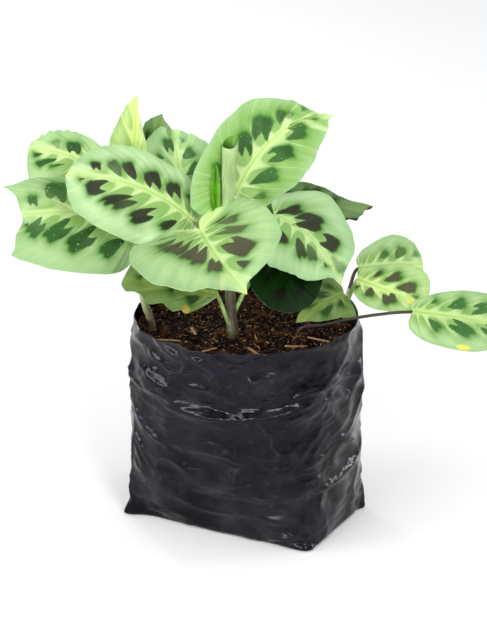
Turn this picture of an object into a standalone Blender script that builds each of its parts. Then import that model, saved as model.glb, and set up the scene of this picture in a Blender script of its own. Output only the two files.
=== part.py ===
"""A potted calathea in a black nursery grow bag: bag, soil, stems, leaf stalks and leaf blades.

Units are metres, +Z is up. The bag's broad face looks along -Y and the origin is the middle of
its flat base. The plant is turned in its bag by PLANT_TURN, so its own values are given in the
plant's frame, in millimetres: x to its right, y to its back, z up.
"""

from math import cos, hypot, pi, radians, sin

import bmesh
import bpy
import numpy as np
from mathutils import Euler, Vector

MM = 0.001
GAP = 0.3 * MM

# The film bag: a 25 cm lay-flat tube, so the girth stays near 0.5 m from the base to the mouth.
BAG_HEIGHT = 155 * MM
BAG_BASE_LENGTH = 155 * MM
BAG_BASE_DEPTH = 97 * MM
BAG_MOUTH_RADIUS = 81 * MM
BAG_WALL = 1.0 * MM
BAG_BASE_SQUARENESS = 5.0
BAG_SIDES = 40
BAG_RINGS = 10

# The potting soil is a low mound that ends a little under the rim.
SOIL_EDGE_HEIGHT = 146 * MM
SOIL_MOUND = 5 * MM
SOIL_INSET = BAG_WALL + 0.6 * MM
SOIL_RINGS = 8

# The plant.
PLANT_TURN = radians(28)
BLADE_THICKNESS = 0.8 * MM
BLADE_ROWS = 12
BLADE_COLUMNS = 6
STALK_SIDES = 6
STALK_RADIUS = 1.3 * MM
SOCKET_SIDES = 12

# Stems: points (x, y, z) and radii in millimetres, from the buried end to the top.
STEMS = {
    "main_stem": (
        [(-10, -28, 118), (-10, -28, 148), (-12, -19, 182), (-13, -4, 232)],
        [6.0, 4.5, 3.6, 3.0],
    ),
    "left_stem": (
        [(-69, -5, 122), (-69, -5, 147), (-76, -2, 172), (-80, 10, 203), (-80, 20, 228)],
        [4.0, 3.0, 2.6, 2.2, 1.8],
    ),
    "right_stem": (
        [(72, 10, 122), (72, 10, 147), (73, 12, 158), (75, 16, 167)],
        [3.0, 2.0, 1.6, 1.5],
    ),
}

# Leaves. base and tip end the midrib; rise bows it up off its chord, bow sideways and crest says
# how far along. facing is the compass turn (0 to the front) and the tilt above level of the upper
# side. left and right are half-widths at the base, a third, two thirds and the tip. stem and share
# say where the stalk leaves. lobe and horn draw the edges back past the base and on past the tip.
LEAVES = {
    "a": dict(base=(-98, 35, 246), tip=(-159, 42, 268), rise=4, bow=4, facing=(20, 40),
              left=(24, 28, 36, 50), right=(12, 18, 20, 12), stem="left_stem", share=0.9),
    "b": dict(base=(-77, 8, 225), tip=(-162, -8, 233), rise=4, bow=2, facing=(15, 34), horn=(0.22, 0.22),
              left=(42, 45, 46, 40), right=(28, 26, 28, 34), stem="left_stem", share=0.72),
    "c": dict(base=(-39, 6, 224), tip=(-125, -18, 265), rise=6, bow=8, facing=(37, 24),
              left=(16, 38, 43, 38), right=(34, 31, 30, 24), lobe=(0.1, 0.1), stem="main_stem", share=0.8),
    "d": dict(base=(-33, -28, 229), tip=(-1, -121, 214), rise=8, bow=2, facing=(-61, 58),
              fold=(0, 18), left=(58, 50, 54, 6), right=(65, 61, 47, 6), lobe=(0.3, 0.17),
              stem="main_stem", share=0.66),
    "e": dict(base=(20, 0, 231), tip=(67, -32, 190), rise=5, bow=-5, facing=(35, 40),
              left=(42, 38, 33, 16), right=(30, 40, 38, 22), lobe=(0.2, 0.2), stem="main_stem", share=0.78),
    "f": dict(base=(-8, 6, 245), tip=(63, 46, 291), rise=4, bow=-15, crest=0.6, facing=(10, 10),
              left=(40, 37, 23, 6), right=(32, 33, 32, 24), lobe=(0.1, 0.1), stem="main_stem", share=0.92),
    "h": dict(base=(-82, 28, 250), tip=(-79, 30, 311), facing=(0, 0), fold=(15, 40),
              left=(16, 17, 13, 5), right=(8, 9, 7, 3), stem="left_stem", share=0.98),
    "i": dict(base=(-72, 40, 262), tip=(-61, 45, 293), facing=(0, 0), fold=(30, 30),
              left=(12, 13, 12, 10), right=(8, 8, 6, 4), stem="left_stem", share=0.84),
    "j": dict(base=(-46, 20, 236), tip=(-53, 40, 282), rise=3, facing=(0, 30),
              left=(18, 22, 24, 24), right=(22, 26, 25, 20), stem="main_stem", share=0.72),
    "k": dict(base=(-2, 27, 228), tip=(91, 34, 226), rise=5, facing=(10, 40),
              left=(16, 22, 13, 1), right=(16, 18, 18, 14), stem="main_stem", share=0.84),
    "l": dict(base=(18, -4, 204), tip=(39, -38, 171), rise=5, facing=(0, 50),
              left=(24, 28, 26, 20), right=(24, 26, 26, 22), stem="main_stem", share=0.5),
    "m": dict(base=(71, 4, 169), tip=(36, -30, 159), rise=3, facing=(0, 50),
              left=(36, 18, 12, 6), right=(16, 25, 20, -10), stem="right_stem", share=0.6),
    "n": dict(base=(83, 35, 178), tip=(131, 40, 179), rise=3, facing=(0, 35),
              left=(16, 20, 24, 20), right=(18, 20, 20, 18), stem="right_stem", share=0.97),
    "o": dict(base=(81, 12, 177), tip=(129, -8, 163), rise=3, lobe=(0.04, 0.04), facing=(0, 35),
              left=(16, 20, 26, 32), right=(18, 17, 14, 8), stem="right_stem", share=0.75),
    "p": dict(base=(120, -18, 163), tip=(190, -28, 155), rise=3, facing=(0, 35),
              left=(13, 18, 22, 22), right=(25, 24, 25, 24), stem=None, share=0),
    "q": dict(base=(-20, -32, 180), tip=(-89, -40, 195), rise=3, facing=(0, 40),
              left=(8, 15, 15, 14), right=(14, 16, 16, 12), stem="main_stem", share=0.45),
}

# The far right leaf's wiry stalk comes out of the soil and leans over the rim.
WIRY_STALK = [(36, -21, 126), (38, -20, 149), (58, -21, 154), (81, -20, 159), (105, -19, 162)]

# A small young leaf beside the rolled one. It has no stalk of its own yet.
YOUNG_LEAF = dict(base=(-22, -3, 229), tip=(-22, 3, 267), facing=(0, 0), fold=(35, 35),
                  left=(3, 4, 4, 3), right=(3, 4, 4, 3))

# The rolled leaf: centre (x, y, z), outer and inner radius of the coil in millimetres, bottom to top.
ROLL_LEVELS = [(-13, -4.5, 229, 4.8, 3.8), (-12.5, -2, 243, 5.4, 4.0), (-12, 1, 262, 6.2, 4.2),
               (-11, 4, 284, 6.8, 4.4)]
ROLL_TURNS = 1.2
ROLL_START = radians(100)
ROLL_SIDES = 20
ROLL_SLANT = 3
ROLL_WALL = 0.5 * MM

# Straw on the soil: x, y, length in millimetres and turn in degrees.
STRAWS = [(-58, -38, 22, 10), (-28, -60, 16, 60), (6, -64, 20, -25), (34, -52, 14, 35),
          (-38, -24, 15, -50), (52, -38, 18, 5)]
STRAW_WIDTH = 2.2 * MM
STRAW_THICKNESS = 1.0 * MM


def clear_scene():
    for obj in list(bpy.data.objects):
        bpy.data.objects.remove(obj)


def material(name, colour, roughness):
    made = bpy.data.materials.new(name)
    made.use_nodes = True
    shader = made.node_tree.nodes["Principled BSDF"]
    shader.inputs["Base Color"].default_value = (*colour, 1)
    shader.inputs["Roughness"].default_value = roughness
    made.diffuse_color = (*colour, 1)
    return made


def add_object(name, data, finish):
    obj = bpy.data.objects.new(name, data)
    bpy.context.scene.collection.objects.link(obj)
    data.materials.append(finish)
    return obj


def unit(v):
    return np.asarray(v, float) / np.linalg.norm(v, axis=-1, keepdims=True)


def in_bag(points):
    """Points of the plant's frame, in millimetres, turned into the bag's frame, in metres."""
    x, y, z = np.moveaxis(np.asarray(points, float), -1, 0) * MM
    turned = (x * cos(PLANT_TURN) - y * sin(PLANT_TURN), x * sin(PLANT_TURN) + y * cos(PLANT_TURN), z)
    return np.stack(turned, -1)


def bag_outline(share, inset=0.0):
    """The bag's outline at a share of its height: from a rounded oblong to a round mouth."""
    blend = share**0.8
    length = BAG_BASE_LENGTH / 2 * (1 - blend) + BAG_MOUTH_RADIUS * blend - inset
    depth = BAG_BASE_DEPTH / 2 * (1 - blend) + BAG_MOUTH_RADIUS * blend - inset
    power = 2 / (BAG_BASE_SQUARENESS * (1 - blend) + 2 * blend)
    turns = np.arange(BAG_SIDES) * 2 * pi / BAG_SIDES
    c, s = np.cos(turns), np.sin(turns)
    return np.sign(c) * np.abs(c) ** power * length, np.sign(s) * np.abs(s) ** power * depth


def ring(bm, xs, ys, z):
    return [bm.verts.new((x, y, z)) for x, y in zip(xs, ys)]


def bridge(bm, lower, upper):
    count = len(lower)
    for i in range(count):
        j = (i + 1) % count
        bm.faces.new((lower[i], lower[j], upper[j], upper[i]))


def grow_bag(finish):
    """Thin film: one sheet from the flat base up to the rim, thickened inwards."""
    bm = bmesh.new()
    rings = []
    for i in range(BAG_RINGS + 1):
        share = i / BAG_RINGS
        rings.append(ring(bm, *bag_outline(share), share * BAG_HEIGHT))
    for lower, upper in zip(rings, rings[1:]):
        bridge(bm, lower, upper)
    bm.faces.new(reversed(rings[0]))
    mesh = bpy.data.meshes.new("grow_bag")
    bm.to_mesh(mesh)
    bm.free()
    bag = add_object("grow_bag", mesh, finish)
    film = bag.modifiers.new("film", "SOLIDIFY")
    film.thickness = BAG_WALL
    film.offset = -1
    film.use_even_offset = True


def soil_height(x, y):
    return SOIL_EDGE_HEIGHT + SOIL_MOUND * max(0.0, 1 - (hypot(x, y) / BAG_MOUTH_RADIUS) ** 2)


def potting_soil(finish, sockets):
    """A plug of soil that fills the bag, mounded on top, with a socket for each buried stem."""
    bm = bmesh.new()
    floor = SOIL_INSET
    rings = []
    for i in range(SOIL_RINGS + 1):
        z = floor + (SOIL_EDGE_HEIGHT - floor) * i / SOIL_RINGS
        rings.append(ring(bm, *bag_outline(z / BAG_HEIGHT, SOIL_INSET), z))
    for share in (0.86, 0.62, 0.38, 0.16):
        xs, ys = bag_outline(SOIL_EDGE_HEIGHT / BAG_HEIGHT, SOIL_INSET)
        made = [bm.verts.new((x * share, y * share, soil_height(x * share, y * share)))
                for x, y in zip(xs, ys)]
        rings.append(made)
    for lower, upper in zip(rings, rings[1:]):
        bridge(bm, lower, upper)
    bm.faces.new(reversed(rings[0]))
    bm.faces.new(rings[-1])
    mesh = bpy.data.meshes.new("potting_soil")
    bm.to_mesh(mesh)
    bm.free()
    soil = add_object("potting_soil", mesh, finish)
    for cutter in sockets:
        cut = soil.modifiers.new(cutter.name, "BOOLEAN")
        cut.operation = "DIFFERENCE"
        cut.solver = "EXACT"
        cut.object = cutter


def smooth_path(points, steps=4):
    """A smooth curve through the points, as a list of points and each one's share of the list."""
    points = np.asarray(points, float)
    padded = np.vstack([2 * points[0] - points[1], points, 2 * points[-1] - points[-2]])
    made, shares = [], []
    spans = len(points) - 1
    for i in range(spans):
        a, b, c, d = padded[i : i + 4]
        for t in np.arange(steps) / steps:
            made.append(0.5 * (2 * b + (c - a) * t + (2 * a - 5 * b + 4 * c - d) * t**2
                               + (3 * b - a - 3 * c + d) * t**3))
            shares.append(i + t)
    made.append(points[-1])
    shares.append(spans)
    return np.array(made), np.array(shares)


def tube(name, path, radii, finish, sides=STALK_SIDES):
    """A round tapering stem along a path in the bag's frame, with a rounded end at both ends."""
    path, radii = np.asarray(path, float), np.asarray(radii, float)
    first, last = unit(path[0] - path[1]), unit(path[-1] - path[-2])
    points, widths = [], []
    for turn in (15, 50):
        points.append(path[0] + first * radii[0] * cos(radians(turn)))
        widths.append(radii[0] * sin(radians(turn)))
    points += list(path)
    widths += list(radii)
    for turn in (50, 15):
        points.append(path[-1] + last * radii[-1] * cos(radians(turn)))
        widths.append(radii[-1] * sin(radians(turn)))
    curve = bpy.data.curves.new(name, "CURVE")
    curve.dimensions = "3D"
    curve.bevel_depth = 1.0
    curve.bevel_resolution = sides // 2 - 2
    curve.use_fill_caps = True
    spline = curve.splines.new("POLY")
    spline.points.add(len(points) - 1)
    for target, place, width in zip(spline.points, points, widths):
        target.co = (*place, 1)
        target.radius = width
    return add_object(name, curve, finish)


def socket(name, path, radii, finish):
    """The cutter for a buried stem's hole: the stem itself, a gap wider."""
    guide = tube(name, path, np.asarray(radii) + GAP, finish, sides=SOCKET_SIDES)
    graph = bpy.context.evaluated_depsgraph_get()
    mesh = bpy.data.meshes.new_from_object(guide.evaluated_get(graph))
    bpy.data.objects.remove(guide)
    bm = bmesh.new()
    bm.from_mesh(mesh)
    bmesh.ops.remove_doubles(bm, verts=bm.verts, dist=GAP / 100)
    bmesh.ops.recalc_face_normals(bm, faces=bm.faces)
    bm.to_mesh(mesh)
    bm.free()
    cutter = add_object(name, mesh, finish)
    cutter.hide_render = True
    cutter.display_type = "WIRE"
    return cutter


def stem_curve(name):
    """A stem's axis in the bag's frame, with its radius at each point, in metres."""
    points, radii = STEMS[name]
    path, shares = smooth_path(in_bag(points))
    return path, np.interp(shares, range(len(radii)), radii) * MM


def midrib(leaf):
    """The midrib's curve and the directions along, to the right of and out of the blade."""
    base, tip = np.array(leaf["base"], float), np.array(leaf["tip"], float)
    turn, tilt = (radians(angle) for angle in leaf["facing"])
    looks = np.array([sin(turn) * cos(tilt), -cos(turn) * cos(tilt), sin(tilt)])
    along = unit(tip - base)
    face = unit(looks - (looks @ along) * along)
    side = np.cross(along, face)
    bend = base + (tip - base) * leaf.get("crest", 0.5)
    bend += 2 * face * leaf.get("rise", 0) + 2 * side * leaf.get("bow", 0)
    t = np.linspace(0, 1, 40)[:, None]
    return (1 - t) ** 2 * base + 2 * t * (1 - t) * bend + t**2 * tip, along, side, face


def half_width(stations, share):
    """The smooth curve through the four half-widths at the base, thirds and tip of the blade."""
    places = np.array([0, 1 / 3, 2 / 3, 1])
    total = 0
    for i, width in enumerate(stations):
        weight = width
        for j in range(4):
            if j != i:
                weight = weight * (share - places[j]) / (places[i] - places[j])
        total = total + weight
    return total


def blade_points(leaf, rows, columns):
    """Rows of points that follow the side veins, from the left edge over the midrib to the right."""
    curve, _, side, _ = midrib(leaf)
    reach = np.concatenate([[0], np.cumsum(np.linalg.norm(np.diff(curve, axis=0), axis=1))])
    length = reach[-1]
    slope = unit(np.gradient(curve, axis=0))
    s = np.linspace(0, 1, rows + 1)[:, None] * np.ones(columns + 1)
    v = np.linspace(-1, 1, columns + 1) * np.ones((rows + 1, 1))
    left = v < 0
    share = 0.5 - 0.5 * np.cos(pi * s)
    fullness = np.maximum(np.sin(pi * s), 0) ** 0.8
    edge = fullness * np.where(left, half_width(leaf["left"], share), half_width(leaf["right"], share))
    horn = np.where(left, *leaf.get("horn", (0, 0)))
    lobe = np.where(left, *leaf.get("lobe", (0.08, 0.08)))
    edge_share = share - lobe * np.sin(pi * s) * (1 - s) ** 3 * 2.6
    edge_share = edge_share + horn * np.sin(pi * s) * s**3 * 2.6
    out = np.abs(v)
    along = (s**2 + (edge_share - s**2) * out**1.25) * length
    across = edge * out
    near = np.clip(along, 0, length)
    spine = np.stack([np.interp(near, reach, curve[:, i]) for i in range(3)], -1)
    tangent = unit(np.stack([np.interp(near, reach, slope[:, i]) for i in range(3)], -1))
    spine = spine + tangent * (along - near)[..., None]
    right = unit(side - (tangent @ side)[..., None] * tangent)
    up = np.cross(right, tangent)
    fold = np.radians(np.where(left, *leaf.get("fold", (0, 0))))
    sideways = np.sign(v) * across * np.cos(fold)
    return spine + right * sideways[..., None] + up * (across * np.sin(fold))[..., None]


def blade(name, leaf, finish):
    """A leaf blade: a sheet fanned from its base point to its tip, thickened both ways."""
    grid = in_bag(blade_points(leaf, BLADE_ROWS, BLADE_COLUMNS))
    bm = bmesh.new()
    base = bm.verts.new(grid[0, 0])
    tip = bm.verts.new(grid[-1, 0])
    rows = [[bm.verts.new(point) for point in row] for row in grid[1:-1]]
    for i in range(BLADE_COLUMNS):
        bm.faces.new((base, rows[0][i + 1], rows[0][i]))
        bm.faces.new((tip, rows[-1][i], rows[-1][i + 1]))
    for near, far in zip(rows, rows[1:]):
        for i in range(BLADE_COLUMNS):
            bm.faces.new((near[i], near[i + 1], far[i + 1], far[i]))
    mesh = bpy.data.meshes.new(name)
    bm.to_mesh(mesh)
    bm.free()
    obj = add_object(name, mesh, finish)
    body = obj.modifiers.new("blade", "SOLIDIFY")
    body.thickness = BLADE_THICKNESS
    body.offset = 0
    return obj


def stalk(name, leaf, finish):
    """A leaf stalk: it leaves its stem, bends outwards and ends just under the blade's base."""
    radius = STALK_RADIUS
    _, along, _, face = midrib(leaf)
    base = in_bag(leaf["base"])
    along, face = unit(in_bag(along)), unit(in_bag(face))
    end = base - face * (BLADE_THICKNESS / 2 + GAP + radius)
    if leaf["stem"] is None:
        path, _ = smooth_path(np.vstack([in_bag(WIRY_STALK), end]))
        return tube(name, path, np.full(len(path), radius), finish)
    stem, widths = stem_curve(leaf["stem"])
    place = int(round(leaf["share"] * (len(stem) - 1)))
    joint, rises = stem[place], unit(stem[min(place + 1, len(stem) - 1)] - stem[place - 1])
    outward = end - joint
    outward = unit(outward - (outward @ rises) * rises)
    start = joint + outward * (widths[place] + radius + GAP)
    reach = np.linalg.norm(end - start)
    bends = start + unit(rises + 0.5 * outward) * reach * 0.35
    arrives = end - unit(0.5 * along + face) * reach * 0.3
    t = np.linspace(0, 1, 7)[:, None]
    path = (1 - t) ** 3 * start + 3 * t * (1 - t) ** 2 * bends + 3 * t**2 * (1 - t) * arrives + t**3 * end
    return tube(name, path, np.linspace(radius * 1.25, radius, len(path)), finish)


def rolled_leaf(finish):
    """The newest leaf, still rolled: a coiled sheet round the stem's top, open at its slanted end."""
    levels = len(ROLL_LEVELS) - 1
    centres, _ = smooth_path(in_bag([level[:3] for level in ROLL_LEVELS]), steps=2)
    shares = np.linspace(0, levels, len(centres))
    outer, inner = (np.interp(shares, range(levels + 1), [level[i] for level in ROLL_LEVELS]) * MM
                    for i in (3, 4))
    bm = bmesh.new()
    rings = []
    for i, centre in enumerate(centres):
        slant = ROLL_SLANT * MM * (i / (len(centres) - 1)) ** 3
        skins = ([], [])
        for k in range(ROLL_SIDES + 1):
            part = k / ROLL_SIDES
            turn = ROLL_START + part * ROLL_TURNS * 2 * pi
            radius = outer[i] + (inner[i] - outer[i]) * part
            for skin, away in zip(skins, (radius, radius - ROLL_WALL)):
                x, y = away * cos(turn), away * sin(turn)
                skin.append(bm.verts.new((centre[0] + x, centre[1] + y, centre[2] + slant * cos(turn))))
        rings.append(skins[0] + skins[1][::-1])
    for lower, upper in zip(rings, rings[1:]):
        bridge(bm, lower, upper)
    last = 2 * ROLL_SIDES + 1
    for k in range(ROLL_SIDES):
        low, high = rings[0], rings[-1]
        bm.faces.new((low[k + 1], low[k], low[last - k], low[last - k - 1]))
        bm.faces.new((high[k], high[k + 1], high[last - k - 1], high[last - k]))
    mesh = bpy.data.meshes.new("rolled_new_leaf")
    bm.to_mesh(mesh)
    bm.free()
    add_object("rolled_new_leaf", mesh, finish)


def straw(name, x, y, length, turn, finish):
    """A flat sliver of straw that lies on the soil."""
    place = in_bag((x, y, 0))
    bm = bmesh.new()
    bmesh.ops.create_cube(bm, size=1)
    mesh = bpy.data.meshes.new(name)
    bmesh.ops.scale(bm, vec=(length * MM, STRAW_WIDTH, STRAW_THICKNESS), verts=bm.verts)
    bm.to_mesh(mesh)
    bm.free()
    obj = add_object(name, mesh, finish)
    steep = 2 * SOIL_MOUND / BAG_MOUTH_RADIUS**2
    slope = Vector((steep * place[0], steep * place[1], 1)).normalized()
    ground = Vector((place[0], place[1], soil_height(place[0], place[1])))
    obj.location = ground + slope * (STRAW_THICKNESS / 2 + GAP)
    tilt = Vector((0, 0, 1)).rotation_difference(slope)
    obj.rotation_euler = (tilt @ Euler((0, 0, radians(turn))).to_quaternion()).to_euler()


def build():
    clear_scene()
    film = material("black_film", (0.012, 0.012, 0.015), 0.3)
    earth = material("dark_soil", (0.045, 0.025, 0.015), 0.95)
    green = material("pale_leaf", (0.27, 0.5, 0.16), 0.45)
    stalk_green = material("stalk_green", (0.2, 0.32, 0.1), 0.5)
    dry = material("dry_straw", (0.42, 0.26, 0.12), 0.8)
    grow_bag(film)
    sockets = []
    for name in STEMS:
        path, radii = stem_curve(name)
        tube(name, path, radii, stalk_green, sides=SOCKET_SIDES)
        sockets.append(socket(name + "_socket", path, radii, earth))
    for letter, leaf in LEAVES.items():
        blade(f"leaf_{letter}_blade", leaf, green)
        stalk(f"leaf_{letter}_stalk", leaf, stalk_green)
    blade("young_leaf_blade", YOUNG_LEAF, green)
    rolled_leaf(green)
    path, _ = smooth_path(in_bag(WIRY_STALK))
    sockets.append(socket("wiry_socket", path, np.full(len(path), STALK_RADIUS), earth))
    potting_soil(earth, sockets)
    for number, (x, y, length, turn) in enumerate(STRAWS, 1):
        straw(f"straw_{number}", x, y, length, turn, dry)


build()
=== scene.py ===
from math import cos, pi, radians, sin

import bmesh
import bpy
import numpy as np
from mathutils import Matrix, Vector, noise


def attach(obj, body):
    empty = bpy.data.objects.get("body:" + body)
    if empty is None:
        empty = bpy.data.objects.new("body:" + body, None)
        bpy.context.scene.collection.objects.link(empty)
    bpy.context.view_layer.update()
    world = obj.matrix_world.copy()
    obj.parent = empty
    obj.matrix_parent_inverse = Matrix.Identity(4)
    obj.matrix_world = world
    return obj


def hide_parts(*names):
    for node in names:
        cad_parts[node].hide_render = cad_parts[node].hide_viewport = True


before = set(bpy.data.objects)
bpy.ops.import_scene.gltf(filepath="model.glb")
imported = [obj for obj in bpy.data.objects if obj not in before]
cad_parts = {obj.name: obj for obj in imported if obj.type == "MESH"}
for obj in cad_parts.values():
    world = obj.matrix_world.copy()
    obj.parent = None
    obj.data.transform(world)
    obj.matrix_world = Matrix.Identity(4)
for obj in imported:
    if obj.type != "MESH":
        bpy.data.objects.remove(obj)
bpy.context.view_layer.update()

# The studio: a plain white floor, a wide soft lamp overhead, soft lamps at both sides, and a
# camera with a long lens that looks down 20 degrees, a little from the right of the bag's face.
VIEW_TURN = radians(28)
VIEW_HEIGHT = radians(20)
VIEW_DISTANCE = 1.75
VIEW_TARGET = Vector((-0.0019, -0.0010, 0.152))
VIEW_LENS = 136.1

scene = bpy.context.scene
scene.view_settings.view_transform = "Standard"


def aimed(obj, place, target):
    """The object at a place, with its own -Z axis towards the target."""
    obj.location = place
    obj.rotation_euler = (target - place).to_track_quat("-Z", "Y").to_euler()
    scene.collection.objects.link(obj)


def soft_lamp(name, place, size, power, target=VIEW_TARGET):
    lamp = bpy.data.lights.new(name, "AREA")
    lamp.shape = "RECTANGLE"
    lamp.size, lamp.size_y = size
    lamp.energy = power
    aimed(bpy.data.objects.new(name, lamp), Vector(place), target)


camera = bpy.data.cameras.new("camera")
camera.lens = VIEW_LENS
camera.clip_end = 50
camera_object = bpy.data.objects.new("camera", camera)
view_side = Vector((sin(VIEW_TURN) * cos(VIEW_HEIGHT), -cos(VIEW_TURN) * cos(VIEW_HEIGHT), sin(VIEW_HEIGHT)))
aimed(camera_object, VIEW_TARGET + VIEW_DISTANCE * view_side, VIEW_TARGET)
scene.camera = camera_object

soft_lamp("lamp_ceiling", (0.0, 0.2, 2.3), (7.2, 7.2), 156, Vector((0, 0.2, 0)))
soft_lamp("lamp_left_wall", (-1.7, -1.6, 0.75), (1.8, 0.42), 26)
soft_lamp("lamp_low_strip", (-0.4, -2.4, 0.6), (1.0, 0.36), 20)
soft_lamp("lamp_front_right", (1.3, -1.2, 1.1), (0.5, 0.5), 17)
soft_lamp("lamp_back_right", (1.9, 1.9, 0.6), (0.1, 1.2), 9)
soft_lamp("lamp_back_left", (-1.7, 1.2, 0.6), (0.1, 1.2), 8)


class Wire:
    """An output socket of a material's node. Arithmetic on it adds Math nodes."""

    def __init__(self, tree, socket=None):
        self.tree = tree
        self.socket = socket

    def node(self, kind, settings=None, inputs=None, output=0):
        """A new node: its settings come first, then its inputs' values or wires."""
        made = self.tree.nodes.new(kind)
        for name, value in (settings or {}).items():
            if name == "stops":
                ramp = made.color_ramp
                while len(ramp.elements) < len(value):
                    ramp.elements.new(0.5)
                for stop, (place, colour) in zip(ramp.elements, value):
                    stop.position = place
                    stop.color = colour
            else:
                setattr(made, name, value)
        for name, value in (inputs or {}).items():
            if isinstance(value, Wire):
                self.tree.links.new(value.socket, made.inputs[name])
            else:
                made.inputs[name].default_value = value
        return Wire(self.tree, made.outputs[output])

    def math(self, operation, first, second=0.0, clamp=False):
        settings = {"operation": operation, "use_clamp": clamp}
        return self.node("ShaderNodeMath", settings, {0: first, 1: second})

    def __add__(self, other):
        return self.math("ADD", self, other)

    def __sub__(self, other):
        return self.math("SUBTRACT", self, other)

    def __rsub__(self, other):
        return self.math("SUBTRACT", other, self)

    def __mul__(self, other):
        return self.math("MULTIPLY", self, other)

    def __truediv__(self, other):
        return self.math("DIVIDE", self, other)

    def __pow__(self, other):
        return self.math("POWER", self, other)

    __radd__ = __add__
    __rmul__ = __mul__

    def size(self):
        return self.math("ABSOLUTE", self)

    def fraction(self):
        return self.math("FRACT", self)

    def smaller(self, other):
        return self.math("MINIMUM", self, other)

    def larger(self, other):
        return self.math("MAXIMUM", self, other)

    def rise(self, start, end):
        """0 below start, 1 above end and smooth between them. With end below start it falls."""
        settings = {"interpolation_type": "SMOOTHSTEP"}
        return self.node("ShaderNodeMapRange", settings, {"Value": self, "From Min": start, "From Max": end})

    def tint(self, colour, other):
        """The first colour where this wire is 0 and the other where it is 1."""
        inputs = {0: self, 6: colour, 7: other}
        return self.node("ShaderNodeMix", {"data_type": "RGBA"}, inputs, output=2)

    def stretched(self, scale):
        """This vector with its axes multiplied."""
        return self.node("ShaderNodeVectorMath", {"operation": "MULTIPLY"}, {0: self, 1: scale})

    def noise(self, scale, detail=3.0, roughness=0.5):
        inputs = {"Vector": self, "Scale": scale, "Detail": detail, "Roughness": roughness}
        return self.node("ShaderNodeTexNoise", None, inputs)

    def part(self, axis):
        return self.node("ShaderNodeSeparateXYZ", None, {0: self}, output=axis)

    def attribute(self, name):
        """A vector that the mesh carries at its points."""
        return self.node("ShaderNodeAttribute", {"attribute_name": name}, output=1)

    def places(self):
        return self.node("ShaderNodeTexCoord", output=3)

    def bump(self, strength, depth):
        """A normal from this wire taken as a height of that many metres."""
        return self.node("ShaderNodeBump", None, {"Height": self, "Strength": strength, "Distance": depth})


def paint(red, green, blue):
    """A colour as a screen's 0 to 255 values say it, in the linear values that a node takes."""
    shares = (np.array([red, green, blue]) / 255 + 0.055) / 1.055
    return (*(float(share) for share in shares**2.4), 1.0)


def new_finish(name, **constants):
    """A material, its shader and a first wire. The constants are set on the shader's own sockets."""
    finish = bpy.data.materials.new(name)
    finish.use_nodes = True
    shader = finish.node_tree.nodes["Principled BSDF"]
    for socket, value in constants.items():
        shader.inputs[socket.replace("_", " ")].default_value = value
    return finish, shader, Wire(finish.node_tree)


def feed(shader, wire, socket):
    wire.tree.links.new(wire.socket, shader.inputs[socket])


# The room is a white cove: pale all round at the level of the object, and dim above.
surround = bpy.data.worlds.new("white_cove")
surround.use_nodes = True
cove = Wire(surround.node_tree)
towards = cove.node("ShaderNodeTexCoord", output=0)
paler = towards.part(2).size().rise(0.36, 0.14).tint((0.04, 0.04, 0.045, 1), (0.74, 0.75, 0.77, 1))
surround.node_tree.links.new(paler.socket, surround.node_tree.nodes["Background"].inputs["Color"])
scene.world = surround

floor_reach = 2.9
floor_mesh = bpy.data.meshes.new("studio_floor")
corners = [(x * floor_reach, y * floor_reach, -0.0004) for x, y in ((-1, -1), (1, -1), (1, 1), (-1, 1))]
floor_mesh.from_pydata(corners, [], [(0, 1, 2, 3)])
floor = bpy.data.objects.new("studio_floor", floor_mesh)
scene.collection.objects.link(floor)
floor_finish, floor_shader, floor_wire = new_finish("white_floor", Roughness=0.9)
floor_shader.inputs["Specular IOR Level"].default_value = 0.1
mottle = floor_wire.places().noise(1.5).rise(0.3, 0.7)
feed(floor_shader, mottle.tint(paint(249, 249, 250), paint(251, 251, 251)), "Base Color")
floor_mesh.materials.append(floor_finish)

# The grow bag is a tube of thin black polythene film, welded flat at the bottom, filled and stood
# up. Its folded bottom corners stick out as ears, and the soil's weight pulls creases in the film.
MM = 0.001
BAG_HEIGHT = 155 * MM
BAG_BASE_LENGTH = 155 * MM
BAG_BASE_DEPTH = 97 * MM
BAG_MOUTH_RADIUS = 81 * MM
BAG_BASE_SQUARENESS = 5.0
SOIL_EDGE_HEIGHT = 146 * MM
film_thickness = 0.3 * MM
film_columns, film_rows = 320, 130


def bag_outline(turns, share, inset=0.0):
    """The filled bag's outline at a share of its height: from a rounded oblong to a round mouth."""
    blend = share**0.8
    length = BAG_BASE_LENGTH / 2 * (1 - blend) + BAG_MOUTH_RADIUS * blend - inset
    depth = BAG_BASE_DEPTH / 2 * (1 - blend) + BAG_MOUTH_RADIUS * blend - inset
    power = 2 / (BAG_BASE_SQUARENESS * (1 - blend) + 2 * blend)
    c, s = np.cos(turns), np.sin(turns)
    return np.sign(c) * np.abs(c) ** power * length, np.sign(s) * np.abs(s) ** power * depth


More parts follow.
